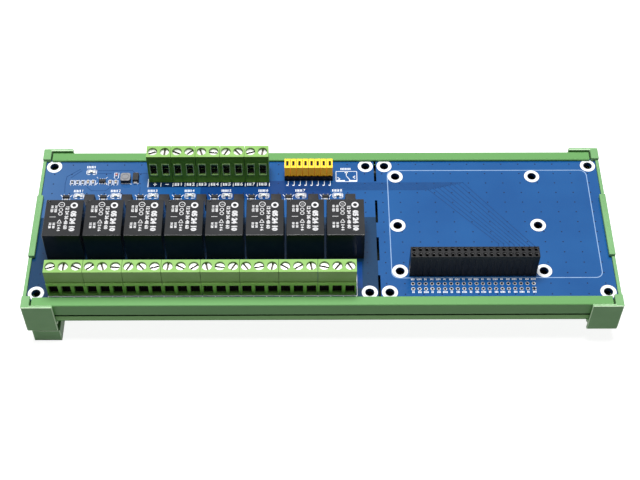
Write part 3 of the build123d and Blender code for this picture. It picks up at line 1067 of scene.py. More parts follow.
@dataclass
class Terminals:
    """One row of screw terminals. A block is modelled with its wire side at Y 0, standing at Z 0."""

    row: Row
    pitch: float = 5.08
    joint: float = 0.16
    depth: float = 7.8
    height: float = 15.2
    step: float = 0.6
    step_height: float = 8.2
    top_depth: float = 6.0
    entry: Pair = (3.7, 5.0)
    entry_depth: float = 2.0
    entry_sill: float = 1.35
    entry_frame: float = 0.35
    entry_recess: float = 0.35
    front_wall: float = 1.2
    pocket: Triple = (3.7, 5.2, 8.6)
    well: float = 4.0
    window: Pair = (2.6, 6.2)
    window_sill: float = 4.6
    window_overlap: float = 0.4
    rim_width: float = 0.28
    rim_root: float = 0.6
    rim_proud: float = 0.12
    seam: float = 0.16
    rounding: float = 0.14
    head: float = 3.7
    head_height: float = 1.9
    head_recess: float = 0.9
    head_rounding: float = 0.22
    shank: float = 2.0
    shank_reach: float = 2.8
    slot_width: float = 0.75
    slot_depth: float = 0.8
    slot_start: float = 20.0
    slot_step: float = 67.0
    sides: int = 28
    shank_sides: int = 12

    def pole_xs(self) -> list[float]:
        """Middle of each pole of a block."""
        return [(pole + 0.5) * self.pitch for pole in range(self.row.poles)]

    def screw_y(self) -> float:
        """Place of the screws behind the wire side."""
        return self.step + self.top_depth / 2

    def head_top(self) -> float:
        """Height of the screws' heads."""
        return self.height - self.head_recess

    def lean(self) -> float:
        """Angle of the leaning rear face, in radians."""
        return math.atan2(self.depth - self.step - self.top_depth, self.height)

    def rear_y(self, z: float) -> float:
        """Y of the leaning rear face at a height."""
        return self.depth - z * math.tan(self.lean())

    def rims(self) -> list[Piece]:
        """Model the thin raised rims round the windows of the rear face.

        Returns:
            The tools.
        """
        wide, tall = self.window
        middle_z = self.window_sill + tall / 2
        half = tall / 2 + self.rim_width
        rims = []
        for x in self.pole_xs():
            ys = (-self.rim_root, self.rim_proud)
            rim = Bench.bar("rim", x, wide + 2 * self.rim_width, ys, (-half, half))
            rim.rotation_euler.x = self.lean()
            rim.location = Vector((0, self.rear_y(middle_z), middle_z)) * MM
            Bench.fix_place(rim)
            rims.append(rim)
        return rims

    def hollows(self) -> list[Piece]:
        """Model the tools for the wire entries, pockets, wells and windows.

        Returns:
            The tools.
        """
        wide, tall = self.entry
        sill, edge = self.entry_sill, self.entry_frame
        lintel = sill + tall
        pocket_wide, pocket_deep, pocket_tall = self.pocket
        well_foot = pocket_tall - 1
        back = self.front_wall + pocket_deep
        window_ys = (back - self.window_overlap, self.depth + 1)
        window_zs = (self.window_sill, self.window_sill + self.window[1])
        tools = []
        for x in self.pole_xs():
            tools += [
                Bench.bar("entry", x, wide, (-1, self.entry_depth), (sill, lintel)),
                Bench.bar("frame", x, wide + 2 * edge, (-1, self.entry_recess), (sill - edge, lintel + edge)),
                Bench.bar("pocket", x, pocket_wide, (self.front_wall, back), (-1, pocket_tall)),
                Bench.rod("well", (x, self.screw_y(), well_foot), self.well / 2, self.height, self.sides),
                Bench.bar("window", x, self.window[0], window_ys, window_zs),
            ]
        return tools

    def seams(self) -> list[Piece]:
        """Model the tools for the shallow seams between the poles of the lower front."""
        xs = [pole * self.pitch for pole in range(1, self.row.poles)]
        return [Bench.bar("seam", x, self.seam, (-1, self.seam), (-1, self.step_height + 1)) for x in xs]

    def housing(self) -> Piece:
        """Model one block's housing.

        Returns:
            The housing.
        """
        length = self.row.poles * self.pitch
        half = self.joint / 2
        body = Bench.block("housing", (half, 0, 0), (length - half, self.depth, self.height))
        tilt = (0, self.height, self.depth - self.step - self.top_depth)
        Bench.slice_off(body, (0, self.depth, 0), tilt)
        ledge = Bench.block("ledge", (-1, -1, self.step_height), (length + 1, self.step, self.height + 1))
        Bench.combine(body, "DIFFERENCE", [ledge])
        Bench.combine(body, "UNION", self.rims())
        Bench.combine(body, "DIFFERENCE", self.hollows())
        Bench.combine(body, "DIFFERENCE", self.seams())
        Bench.round_edges(body, self.rounding, 2, 50)
        # The rims get a painted highlight, the wire-entry front painted light and the leaning rear face
        # painted shade.
        coats = ((BLOCK_RIM_HIGHLIGHT, self.on_rim), (BLOCK_FACE_PAINTED_LIGHT, self.on_entry_face), (BLOCK_BACK_SHADE, self.on_back))
        Bench.coat(body, BLOCK_GREEN, *coats)
        return body

    def on_back(self, spot: Vector, normal: Vector) -> bool:
        """Tell whether a face belongs to the leaning rear face, without the rims; it takes painted shade."""
        return normal.y > 0.9 and abs(spot.y - self.rear_y(spot.z)) < 0.04

    def on_entry_face(self, spot: Vector, normal: Vector) -> bool:
        """Tell whether a face belongs to the front that holds the wire entries, which takes painted light."""
        return normal.y < -0.5 and spot.y < self.entry_recess + 0.05 and spot.z < self.step_height

    def on_rim(self, spot: Vector, normal: Vector) -> bool:
        """Tell whether a face belongs to the raised rim of a window, which takes a painted highlight."""
        return spot.y - self.rear_y(spot.z) > self.rim_proud - 0.08

    def in_slot(self, spot: Vector, normal: Vector) -> bool:
        """Tell whether a face belongs to the slot of a screw's head."""
        return abs(spot.y) < self.slot_width / 2 + 0.02 and spot.z < self.head_top() - 0.15

    def screw(self) -> Piece:
        """Model one slotted clamp screw about the Z axis.

        Returns:
            The screw.
        """
        top, low = self.head_top(), self.head_top() - self.head_height
        head = Bench.rod("head", (0, 0, low), self.head / 2, self.head_height, self.sides)
        half = self.slot_width / 2
        slot = Bench.bar("slot", 0, 2 * self.head, (-half, half), (top - self.slot_depth, self.height))
        Bench.combine(head, "DIFFERENCE", [slot])
        Bench.round_edges(head, self.head_rounding)
        Bench.coat(head, SCREW_METAL, (SLOT_SHADE, self.in_slot))
        tip = self.pocket[2] - self.shank_reach
        shank = Bench.rod("shank", (0, 0, tip), self.shank / 2, low - tip + 0.1, self.shank_sides)
        return Bench.join([head, shank], "clamp_screw")

    def wire_side(self) -> Pair:
        """Give the Y of the row's wire side, and 1 or -1 for the way in from it."""
        low, high = node_box(f"{self.row.stem}_terminal_1")
        return (low.y, 1.0) if self.row is Row.OUTPUT else (high.y, -1.0)

    def build(self) -> None:
        """Model and dress the row."""
        stem = self.row.stem
        housing, screw = self.housing(), self.screw()
        side_y, inward = self.wire_side()
        screws = []
        for block in range(1, self.row.blocks + 1):
            low, high = node_box(f"{stem}_terminal_{block}")
            left, right = low.x - self.joint / 2, high.x + self.joint / 2
            start, turn = (left, 0.0) if inward > 0 else (right, 180.0)
            twin = Bench.twin(housing, f"{stem}_housing_{block}", (start, side_y, BOARD_TOP), turn)
            Bench.settle(twin, BLOCK_GREEN, [f"{stem}_terminal_{block}"])
            for x in self.pole_xs():
                place = (left + x, side_y + inward * self.screw_y(), BOARD_TOP)
                turn = (len(screws) * self.slot_step + self.slot_start) % 180
                screws.append(Bench.twin(screw, "screw", place, turn))
        bpy.data.objects.remove(housing)
        bpy.data.objects.remove(screw)
        Bench.settle(Bench.join(screws, f"{stem}_screws"), SCREW_METAL, [f"{stem}_clamp_screws"])
        # The clamp frames take the painted shade of the entries.
        Bench.dress(f"{stem}_clamp_frames", CONTACT_SHADE_METAL)


@dataclass
class Relays:
    """The bank of sealed relays with the print on their tops, placed from the middle of each top."""

    count: int = 8
    draft: Pair = (0.982, 0.985)
    rounding: float = 0.4
    vent: float = 0.9
    vent_place: Pair = (1.5, 1.3)
    vent_depth: float = 0.5
    ink: float = 0.03
    figures: tuple[Figure, ...] = (
        Figure((3.9, -1.8), 2.0, 0.2, "05 24 10", -90),
        Figure((1.3, 0.0), 1.35, 0.1, "12 24 36 48 60", -90),
        Figure((-1.15, 6.5), 1.2, 0.04, "1", -90),
        Figure((-1.2, -5.2), 1.1, 0.09, "2 4 6", -90),
        Figure((-3.3, 4.4), 0.9, 0.09, "10 250", -90),
        Figure((-3.3, -3.9), 0.9, 0.09, "10 30", -90),
        Figure((-4.8, 4.4), 0.9, 0.09, "10 125", -90),
        Figure((-4.8, -3.9), 0.9, 0.09, "10 28", -90),
    )
    rings: tuple[tuple[Pair, float, float, int], ...] = (
        ((3.9, 6.1), 2.9, 1.6, 24),
        ((-1.15, 6.5), 2.6, 2.1, 20),
        ((-1.2, 3.8), 1.7, 1.2, 16),
        ((-1.2, 1.9), 1.7, 1.2, 16),
    )
    triangle: Paths = ((((-2.1, -2.8), (-0.3, -2.8), (-1.2, -1.1), (-2.1, -2.8)), 0.25),)
    dash: tuple[Pair, Pair] = ((-4.1, 0.3), (2.5, 0.2))

    def case(self, low: Vector, high: Vector) -> Piece:
        """Model one case between two corners.

        Args:
            low: Its lowest corner.
            high: Its highest corner.

        Returns:
            The case.
        """
        case = Bench.block("case", low, high)
        Bench.taper_top(case, self.draft)
        place = (low.x + self.vent_place[0], high.y - self.vent_place[1], high.z - self.vent_depth)
        Bench.combine(case, "DIFFERENCE", [Bench.rod("vent", place, self.vent / 2, 1, 16)])
        Bench.round_edges(case, self.rounding, 3)
        return case

    def marks(self, middle: Vector, top: float) -> Piece:
        """Lay the generic print of one relay: rows that run from the back to the front.

        Args:
            middle: Middle of the relay.
            top: Height of its top face.

        Returns:
            The printed piece.
        """
        ink = Print("relay_marks", top, self.ink, (middle.x, middle.y))
        for figure in self.figures:
            ink.number(figure)
        for ring in self.rings:
            ink.ring(*ring)
        ink.draw(self.triangle)
        ink.bar(*self.dash)
        return ink.lay()

    def build(self) -> None:
        """Model and dress the bank."""
        low, high = node_box("relay_1")
        high.z -= self.ink
        marks = self.marks((low + high) / 2, high.z)
        Bench.repeat(self.case(low, high), "relay_case", "relay", self.count, RELAY_CASE)
        Bench.repeat(marks, "relay_marks", "relay", self.count, RELAY_PRINT, stands=False)


@dataclass
class BoardPrint:
    """The board with its mask, its hole rings, its print and its traces."""

    film: float = 0.02
    thick_film: float = 0.03
    corner_inset: float = 3.5
    snap_x: float = 22.7
    snap_inset: float = 4.0
    hole: float = 3.2
    ring_outer: float = 6.4
    ring_inner: float = 3.75
    rim_outer: float = 6.9
    rim_inner: float = 6.66
    computer_xs: Pair = (31.2, 89.2)
    computer_ys: Triple = (-22.25, 0.75, 26.75)
    outline_low: Pair = (27.7, -25.77)
    outline_high: Pair = (112.7, 30.23)
    outline_corner: float = 3.0
    outline_width: float = 0.32
    pins: int = 20
    pin_pitch: float = 2.54
    pad_outer: float = 1.6
    pad_inner: float = 0.98
    pads_y: Pair = (-28.4, -30.94)
    pad_words_y: Pair = (-26.3, -32.49)
    pad_words: tuple[Word, ...] = (
        Word((-0.65, 0.0), (0.3, 0.35, 0.25), 0.8, 0.2),
        Word((-0.9, 0.0), (0.3, 0.25, 0.35, 0.3), 0.8, 0.2),
        Word((-0.425, 0.0), (0.35, 0.3), 0.8, 0.2),
    )
    first_pin_edge: float = 0.3
    channels: int = 8
    trace_start: Pair = (-9.0, 19.6)
    trace_bend: float = 45.0
    trace_foot: Pair = (72.0, -8.6)
    trace_end: float = -18.0
    trace_steps: Triple = (2.1, 0.54, -0.2)
    trace_width: float = 0.27
    trace_hole: tuple[Pair, float, float, int] = ((-1.2, -0.4), 0.55, 0.1, 8)
    supply_routes: Paths = (
        (((-102.5, 31.2), (-107.8, 27.1), (-108.2, 23.4), (-107.9, 18.6)), 0.22),
        (((-101.8, 30.4), (-106.1, 26.5)), 0.22),
        (((-95.1, 30.4), (-80.4, 30.4), (-78.8, 28.8), (-72.6, 28.8)), 0.22),
        (((-95.0, 28.8), (-89.2, 28.8)), 0.22),
        (((-99.1, 21.8), (-96.8, 19.5), (-90.8, 19.5), (-88.3, 22.1)), 0.22),
        (((-76.5, 21.4), (-76.4, 18.6)), 0.22),
    )
    lamp_pitch: float = 15.5
    lamp_inset: float = 1.0
    lamp_word: Word = Word((-2.3, 19.3), (0.35, 0.3, 0.4, 0.3, 0.35), 1.25, 0.28)
    lamp_figure: Figure = Figure((1.35, 19.3), 1.4, 0.03)
    supply_word: Word = Word((-99.8, 32.3), (0.35, 0.4, 0.3, 0.4, 0.35, 0.3), 1.25, 0.3)
    terminal_pitch: float = 5.08
    input_poles: int = 10
    input_y: float = 22.8
    input_tick: tuple[Pair, Pair] = ((2.54, -0.2), (0.25, 1.9))
    input_word: Word = Word((-1.8, 0.0), (0.45, 0.4, 0.45), 1.5, 0.25)
    input_figure: Figure = Figure((0.95, 0.0), 1.6, 0.08)
    sign_bars: tuple[Pair, ...] = ((1.5, 0.35), (0.35, 1.5))
    input_end: tuple[Pair, Pair] = ((-0.35, 0.7), (0.3, 4.4))
    output_ticks: int = 25
    output_tick: tuple[Pair, Pair] = ((0.0, -0.3), (0.3, 0.6))
    output_gap: float = 0.28
    output_width: float = 0.34
    output_end: Triple = (0.4, -17.5, 0.22)
    jumper_hook: tuple[Pair, Pair, float] = ((0.3, 24.3), (0.3, 22.5), 0.28)
    jumper_foot: tuple[Pair, Pair] = ((-0.05, 22.15), (0.8, 0.5))
    sign_box: tuple[Pair, Pair, float, float] = ((6.0, 24.0), (15.1, 29.8), 0.4, 0.26)
    sign_word: Word = Word((8.1, 31.0), (0.4, 0.3, 0.4, 0.35, 0.4, 0.3, 0.4), 1.1, 0.28)
    sign_cap: tuple[Pair, Pair] = ((10.5, 29.0), (1.3, 0.5))
    sign_lines: Paths = (
        (((10.5, 29.2), (10.5, 27.2), (12.0, 25.0)), 0.3),
        (((6.9, 26.3), (7.9, 25.5), (6.9, 24.9)), 0.35),
        (((6.6, 24.6), (9.6, 24.6)), 0.55),
        (((11.9, 24.6), (14.6, 24.6)), 0.55),
        (((14.1, 27.1), (13.3, 26.5), (14.1, 25.9)), 0.35),
    )

    def hole_middles(self) -> list[Pair]:
        """Middle of every ringed hole.

        Returns:
            Their X and Y.
        """
        low, high = node_box("circuit_board")
        snap_xs = (self.snap_x - self.snap_inset, self.snap_x + self.snap_inset)
        corner_xs = (low.x + self.corner_inset, *snap_xs, high.x - self.corner_inset)
        corners = [(x, y) for x in corner_xs for y in (low.y + self.corner_inset, high.y - self.corner_inset)]
        return corners + [(x, y) for x in self.computer_xs for y in self.computer_ys]

    def rings(self) -> None:
        """Lay the white rings, their thin outer lines and a black ring of painted shade at each hole's edge.
        """
        white = Print("hole_rings", BOARD_TOP)
        rims = Print("ring_rims", BOARD_TOP, self.film)
        edges = Print("hole_edge_shade", BOARD_TOP, self.film)
        for middle in self.hole_middles():
            white.ring(middle, self.ring_outer, self.ring_inner)
            rims.ring(middle, self.rim_outer, self.rim_inner)
            edges.ring(middle, self.ring_inner, self.hole)
        white.settle(PRINT_WHITE)
        rims.settle(TRACE_BLUE)
        edges.settle(HOLE_SHADE)

    def pads(self) -> None:
        """Lay the tinned rings of the spare pads and the short marks in front of and behind them."""
        tin = Print("spare_pads", BOARD_TOP, self.thick_film)
        marks = Print("pad_marks", BOARD_TOP)
        first_x = sum(self.computer_xs) / 2 - (self.pins - 1) / 2 * self.pin_pitch
        for row, (pad_y, word_y) in enumerate(zip(self.pads_y, self.pad_words_y)):
            for pin in range(self.pins):
                x = first_x + pin * self.pin_pitch
                tin.origin = (x, pad_y)
                tin.ring((0, 0), self.pad_outer, self.pad_inner, 20)
                marks.origin = (x, word_y)
                marks.word(self.pad_words[(row * self.pins + pin) % len(self.pad_words)])
        half = self.pad_outer / 2
        tin.outline((-half, -half), (half, half), 0, self.first_pin_edge)
        tin.settle(SOLDER)
        marks.settle(PRINT_WHITE)

    def outline(self) -> None:
        """Lay the computer's rounded outline."""
        ink = Print("computer_outline", BOARD_TOP, self.thick_film)
        ink.outline(self.outline_low, self.outline_high, self.outline_corner, self.outline_width)
        ink.settle(OUTLINE_PRINT)

    def traces(self) -> None:
        """Lay the bundle of traces that runs to the socket, and the traces of the supply."""
        ink = Print("trace_bundle", BOARD_TOP, self.film)
        step_x, step_y, step_foot = self.trace_steps
        for index in range(self.channels):
            y = self.trace_start[1] + index * step_y
            bend = self.trace_bend + index * step_x
            foot_x, foot_y = self.trace_foot[0] + index * step_x, self.trace_foot[1] + index * step_foot
            points = ((self.trace_start[0], y), (bend, y), (foot_x, foot_y), (foot_x, self.trace_end))
            ink.origin = (0.0, 0.0)
            ink.draw(((points, self.trace_width),))
            ink.origin = (bend, y)
            ink.ring(*self.trace_hole)
        ink.origin = (0.0, 0.0)
        ink.draw(self.supply_routes)
        ink.settle(TRACE_BLUE)

    def lamp_labels(self, ink: Print) -> None:
        """Lay a plain number and a short mark behind each lamp.

        Args:
            ink: The print that takes the strokes.
        """
        ink.word(self.supply_word)
        first = node_box("channel_lamps")[0].x + self.lamp_inset
        for index in range(self.channels):
            ink.origin = (first + index * self.lamp_pitch, 0.0)
            ink.word(self.lamp_word)
            ink.number(self.lamp_figure, str(index + 1))

    def input_labels(self, ink: Print) -> None:
        """Lay the marks and ticks in front of the input terminals.

        Args:
            ink: The print that takes the strokes.
        """
        low, _ = node_box("input_terminal_1")
        ink.origin = (low.x, self.input_y)
        ink.bar(*self.input_end)
        for pole in range(self.input_poles):
            ink.origin = (low.x + (pole + 0.5) * self.terminal_pitch, self.input_y)
            ink.bar(*self.input_tick)
            if pole < len(self.sign_bars):
                for size in self.sign_bars[: len(self.sign_bars) - pole]:
                    ink.bar((0, 0), size)
            else:
                ink.word(self.input_word)
                ink.number(self.input_figure, str(pole - 1))

    def output_line(self, ink: Print) -> None:
        """Lay the line and ticks in front of the output terminals.

        Args:
            ink: The print that takes the strokes.
        """
        left = node_box("output_terminal_1")[0]
        right = node_box("output_terminal_8")[1].x
        front = left.y - self.output_gap
        ink.line((left.x, front), (right, front), self.output_width)
        past, end_y, width = self.output_end
        ink.line((right + past, front), (right + past, end_y), width)
        for tick in range(self.output_ticks):
            ink.origin = (left.x + tick * self.terminal_pitch, front)
            ink.bar(*self.output_tick)

    def jumper_marks(self, ink: Print) -> None:
        """Lay the hooked marks in front of the jumpers.

        Args:
            ink: The print that takes the strokes.
        """
        low, _ = node_box("jumper_header")
        for index in range(self.channels):
            ink.origin = (low.x + (index + 0.5) * self.pin_pitch, 0.0)
            ink.line(*self.jumper_hook)
            ink.bar(*self.jumper_foot)

    def contact_symbol(self, ink: Print) -> None:
        """Lay the box with the sign of a changeover contact, and the mark above it.

        Args:
            ink: The print that takes the strokes.
        """
        ink.outline(*self.sign_box)
        ink.word(self.sign_word)
        ink.bar(*self.sign_cap)
        ink.draw(self.sign_lines)

    def build(self) -> None:
        """Lay everything on the board and dress it."""
        Bench.dress("circuit_board", BOARD_BLUE)
        self.rings()
        self.pads()
        self.outline()
        self.traces()
        ink = Print("board_marks", BOARD_TOP)
        labels = (self.lamp_labels, self.input_labels, self.output_line, self.jumper_marks)
        for lay in (*labels, self.contact_symbol):
            ink.origin = (0.0, 0.0)
            lay(ink)
        ink.settle(PRINT_WHITE)


@dataclass
class Socket:
    """The tall two-row socket for the computer."""

    columns: int = 20
    pitch: float = 2.54
    mouth: float = 2.0
    mouth_depth: float = 0.45
    hole: float = 1.1
    hole_depth: float = 5.0
    rib_gap: float = 0.6
    rib: float = 0.14
    rib_top: float = 2.2
    rounding: float = 0.12

    def mouths(self, middle: Vector, top: float) -> list[Piece]:
        """Model the tools for the round mouths and the square holes under them.

        Args:
            middle: Middle of the socket.
            top: Height of its top face.

        Returns:
            The tools.
        """
        tools = []
        for row in (-0.5, 0.5):
            y = middle.y + row * self.pitch
            ys = (y - self.hole / 2, y + self.hole / 2)
            for column in range(self.columns):
                x = middle.x + (column - (self.columns - 1) / 2) * self.pitch
                tools.append(Bench.rod("mouth", (x, y, top - self.mouth_depth), self.mouth / 2, 1, 12))
                tools.append(Bench.bar("hole", x, self.hole, ys, (top - self.hole_depth, top)))
        return tools

    def build(self) -> None:
        """Model and dress the socket."""
        low, high = node_box("computer_socket")
        middle = (low + high) / 2
        body = Bench.block("socket_body", low, high)
        tools = self.mouths(middle, high.z)
        for column in range(1, self.columns):
            x = middle.x + (column - self.columns / 2) * self.pitch
            for ys in ((low.y - 1, low.y + self.rib), (high.y - self.rib, high.y + 1)):
                tools.append(Bench.bar("rib", x, self.rib_gap, ys, (low.z - 1, high.z - self.rib_top)))
        Bench.combine(body, "DIFFERENCE", tools)
        Bench.round_edges(body, self.rounding, 2, 50)
        Bench.settle(body, HEADER_BLACK, ["computer_socket"])
        # The contacts take painted shade.
        Bench.dress("socket_contacts", CONTACT_SHADE_METAL)


@dataclass
class Jumpers:
    """The jumper header and its caps."""

    count: int = 8
    rounding: float = 0.18
    header_rounding: float = 0.1
    slot: Triple = (1.0, 2.5, 0.9)
    nick: Triple = (0.9, 0.55, 2.6)
    shoulder: float = 2.3
    step: float = 0.3

    def cap(self, low: Vector, high: Vector) -> Piece:
        """Model one cap between two corners, with its shoulder, its side notch and its slot.

        Args:
            low: Its lowest corner.
            high: Its highest corner.

        Returns:
            The cap.
        """
        middle = (low + high) / 2
        cap = Bench.block("cap", low, high)
        wide, deep, down = self.slot
        nick_wide, nick_deep, nick_down = self.nick
        ledge = high.z - self.shoulder
        slot_ys = (middle.y - deep / 2, middle.y + deep / 2)
        nick_zs = (low.z - 1, ledge - nick_down)
        tools = [
            Bench.block("lip", (low.x - 1, low.y - 1, low.z - 1), (high.x + 1, low.y + self.step, ledge)),
            Bench.bar("nick", middle.x, nick_wide, (low.y - 1, low.y + nick_deep), nick_zs),
            Bench.bar("slot", middle.x, wide, slot_ys, (high.z - down, high.z + 1)),
        ]
        Bench.combine(cap, "DIFFERENCE", tools)
        Bench.round_edges(cap, self.rounding)

        def in_slot(spot: Vector, normal: Vector) -> bool:
            """Tell whether a face belongs to the slot."""
            away = spot - middle
            return abs(away.x) < wide / 2 + 0.05 and abs(away.y) < deep / 2 + 0.05 and spot.z < high.z - 0.1

        # Painted shade: the slot's inside is black.
        Bench.coat(cap, JUMPER_YELLOW_GLOW, (HOLE_SHADE, in_slot))
        return cap

    def build(self) -> None:
        """Model and dress the header and the caps."""
        header = Bench.from_node("jumper_header", "jumper_base")
        Bench.round_edges(header, self.header_rounding)
        Bench.settle(header, HEADER_BLACK, ["jumper_header"])
        cap = self.cap(*node_box("jumper_cap_1"))
        Bench.repeat(cap, "jumper", "jumper_cap", self.count, JUMPER_YELLOW_GLOW)


@dataclass(frozen=True)
class ChipRow:
    """A row of upright chips: the start of its pieces' names, its places, its finish and its node."""

    stem: str
    xs: tuple[float, ...]
    y: float
    finish: Finish
    node: str = ""
    height: float = 0.8


@dataclass(frozen=True)
class Leads:
    """Leads of a package: their X from its middle, its edges (-1 for the front), how far out, their size."""

    xs: tuple[float, ...]
    edges: tuple[int, ...]
    out: float
    size: Pair


@dataclass(frozen=True)
class Package:
    """A moulded package: its node, its pieces' names, its body in the node's box and its leads."""

    node: str
    body: str
    tin: str
    leads: tuple[Leads, ...]
    lead_height: float
    length: float = 0.0
    inset: float = 0.0
    lift: float = 0.08
    draft: float = 0.9


@dataclass
class SurfaceParts:
    """The small parts soldered on the board: drivers, lamps and supply."""

    pitch: float = 15.5
    count: int = 8
    package_rounding: float = 0.12
    lead_rounding: float = 0.06
    optocoupler: Package = Package(
        "optocouplers", "opto_bodies", "opto_leads", (Leads((-1.27, 1.27), (-1, 1), -0.75, (1.0, 1.5)),),
        0.22, length=4.5, inset=1.2, lift=0.15, draft=0.92,
    )
    transistor: Package = Package(
        "transistors", "transistor_bodies", "transistor_leads",
        (Leads((-0.95, 0.95), (1,), 0.35, (0.55, 0.9)), Leads((0.0,), (-1,), 0.4, (1.9, 0.8))),
        0.3, length=2.9,
    )
    regulator: Package = Package(
        "regulator", "regulator_body", "regulator_leads",
        (Leads((-0.95, 0.0, 0.95), (-1, 1), 0.35, (0.45, 0.9)),), 0.35,
    )
    diode: Package = Package(
        "power_diode", "diode_body", "diode_leads", (Leads((0.0,), (-1, 1), -0.6, (1.6, 1.2)),),
        0.9, inset=0.8, lift=0.0,
    )
    tabs: tuple[Leads, ...] = (Leads((0.0,), (-1, 1), -0.2, (3.4, 0.7)),)
    dot: Triple = (0.9, 0.35, 0.1)
    transistor_rear: Paths = ((((1.6, -0.3), (2.3, 0.6)), 0.24),)
    transistor_front: Paths = ((((1.55, 0.1), (1.55, -0.8)), 0.2),)
    lamp_half: float = 1.0
    lens_half: float = 0.65
    lamp_base: float = 0.4
    lens_foot: float = 0.35
    lamp_pads: Triple = (1.25, 0.9, 1.5)
    lamp_rounding: float = 0.05
    pad_height: float = 0.3
    bracket: Paths = (
        (((0.7, 1.25), (1.7, 1.25), (2.05, 0.9), (2.05, -0.9), (1.7, -1.25), (0.7, -1.25)), 0.28),
    )
    rows: tuple[ChipRow, ...] = (
        ChipRow("resistors", (-105.2, -103.0, -100.8), 23.8, CHIP_DARK, "resistors"),
        ChipRow("capacitors", (-98.6, -96.4, -89.2, -86.9), 23.8, CHIP_TAN, "capacitors"),
        ChipRow("upper_capacitor", (-86.9,), 27.7, CHIP_RED),
    )
    chip_half: Pair = (0.45, 0.5)
    chip_draft: float = 0.95
    chip_ends: Triple = (0.72, 0.92, 0.55)
    chip_bracket: Paths = ((((0.5, 1.3), (0.86, 1.3), (0.86, -1.3), (0.5, -1.3)), 0.2),)
    supply_marks: tuple[tuple[float, Paths], ...] = (
        (-86.9, ((((0.4, 26.2), (0.9, 26.2), (0.9, 29.1)), 0.2),)),
        (-92.9, ((((1.75, 23.6), (2.3, 22.8)), 0.26), (((1.75, 26.2), (2.2, 26.8)), 0.2))),
        (-79.2, ((((1.0, 23.0), (1.7, 23.0), (1.7, 24.0)), 0.2),)),
    )
    groove: Pair = (1.5, 0.3)
    core: Triple = (1.2, 0.35, 0.33)
    inductor_rounding: float = 0.15
    core_rounding: float = 0.08
    tab_height: float = 0.5

    def case(self, name: str, low: Sequence[float], high: Sequence[float], draft: float = 0.9) -> Piece:
        """Model a moulded case with drafted sides.

        Args:
            name: Name of the piece.
            low: Its lowest corner.
            high: Its highest corner.
            draft: Share of its size at the top.

        Returns:
            The case.
        """
        body = Bench.block(name, low, high)
        Bench.taper_top(body, (draft, draft))
        Bench.round_edges(body, self.package_rounding)
        return body

    def tin(self, name: str, spots: Sequence[Spot], height: float) -> Piece:
        """Model bright leads or pads on the board as one piece.

        Args:
            name: Name of the piece.
            spots: Middle X and Y, length and width of each.
            height: Their height.

        Returns:
            The piece.
        """
        pieces = []
        for x, y, wide, deep in spots:
            lead = Bench.bar("lead", x, wide, (y - deep / 2, y + deep / 2), (BOARD_TOP, BOARD_TOP + height))
            Bench.round_edges(lead, self.lead_rounding, 1)
            pieces.append(lead)
        return Bench.join(pieces, name)

    def spread(self, master: Piece, name: str) -> Piece:
        """Repeat a piece at each relay and join the copies.

        Args:
            master: The piece at the first relay.
            name: Name of the whole.

        Returns:
            The joined copies.
        """
        twins = [Bench.twin(master, name, (index * self.pitch, 0, 0)) for index in range(self.count)]
        bpy.data.objects.remove(master)
        return Bench.join(twins, name)

    def spots(self, groups: Sequence[Leads], x: float, front: float, rear: float) -> list[Spot]:
        """Place leads at the front and rear edges of a package about its middle X.

        Args:
            groups: The leads.
            x: Middle X of the package.
            front: Y of its front edge.
            rear: Y of its rear edge.

        Returns:
            Middle X and Y, length and width of each.
        """
        return [
            (x + away, rear + group.out if edge > 0 else front - group.out, *group.size)
            for group in groups
            for away in group.xs
            for edge in group.edges
        ]

    def package(self, kind: Package) -> float:
        """Model a package and its leads, at each relay where it has a length of its own.

        Args:
            kind: What the package is like.

        Returns:
            The middle X of the first one.
        """
        low, high = node_box(kind.node)
        right, rear = low.x + kind.length if kind.length else high.x, high.y - kind.inset
        start = (low.x, low.y + kind.inset, BOARD_TOP + kind.lift)
        body = self.case(kind.body, start, (right, rear, high.z), kind.draft)
        if kind is self.optocoupler:
            inset, radius, depth = self.dot
            dot = Bench.rod("dot", (low.x + inset, rear - inset, high.z - depth), radius, 0.5, 16)
            Bench.combine(body, "DIFFERENCE", [dot])
        x = (low.x + right) / 2
        tin = self.tin(kind.tin, self.spots(kind.leads, x, low.y, high.y), kind.lead_height)
        for piece, finish, nodes in ((body, PACKAGE_GREY, [kind.node]), (tin, SOLDER, [])):
            Bench.settle(self.spread(piece, piece.name) if kind.length else piece, finish, nodes)
        return x

    def transistor_marks(self, x: float) -> None:
        """Lay the print beside the transistors, of which the first stands at some X.

        Args:
            x: Middle X of the first one.
        """
        low, high = node_box(self.transistor.node)
        ink = Print("transistor_marks", BOARD_TOP, origin=(x, high.y))
        ink.draw(self.transistor_rear, (-1, 1))
        ink.origin = (x, low.y)
        ink.draw(self.transistor_front, (-1, 1))
        Bench.settle(self.spread(ink.lay(), "transistor_marks"), PRINT_WHITE)

    def lamps(self, node: str, name: str, count: int) -> None:
        """Model lamps with their lens, pads and bracket print.

        Args:
            node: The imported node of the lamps.
            name: Start of the pieces' names.
            count: Number of lamps along the board.
        """
        low, high = node_box(node)
        x, y = low.x + self.lamp_half, (low.y + high.y) / 2
        ys = (low.y, high.y)
        base = Bench.bar("base", x, 2 * self.lamp_half, ys, (BOARD_TOP, BOARD_TOP + self.lamp_base))
        Bench.round_edges(base, self.lamp_rounding, 1)
        foot = (x - self.lens_half, low.y, BOARD_TOP + self.lens_foot)
        lens = self.case("lens", foot, (x + self.lens_half, high.y, high.z))
        lamp = Bench.join([base, lens], name)
        apart, wide, deep = self.lamp_pads
        spots = [(x + side * apart, y, wide, deep) for side in (-1, 1)]
        tin = self.tin(f"{name}_pads", spots, self.pad_height)
        ink = Print(f"{name}_print", BOARD_TOP, origin=(x, y))
        ink.draw(self.bracket, (-1, 1))
        pieces = ((lamp, LAMP_CLEAR, [node]), (tin, SOLDER, []), (ink.lay(), PRINT_WHITE, []))
        for piece, finish, nodes in pieces:
            Bench.settle(self.spread(piece, piece.name) if count > 1 else piece, finish, nodes)

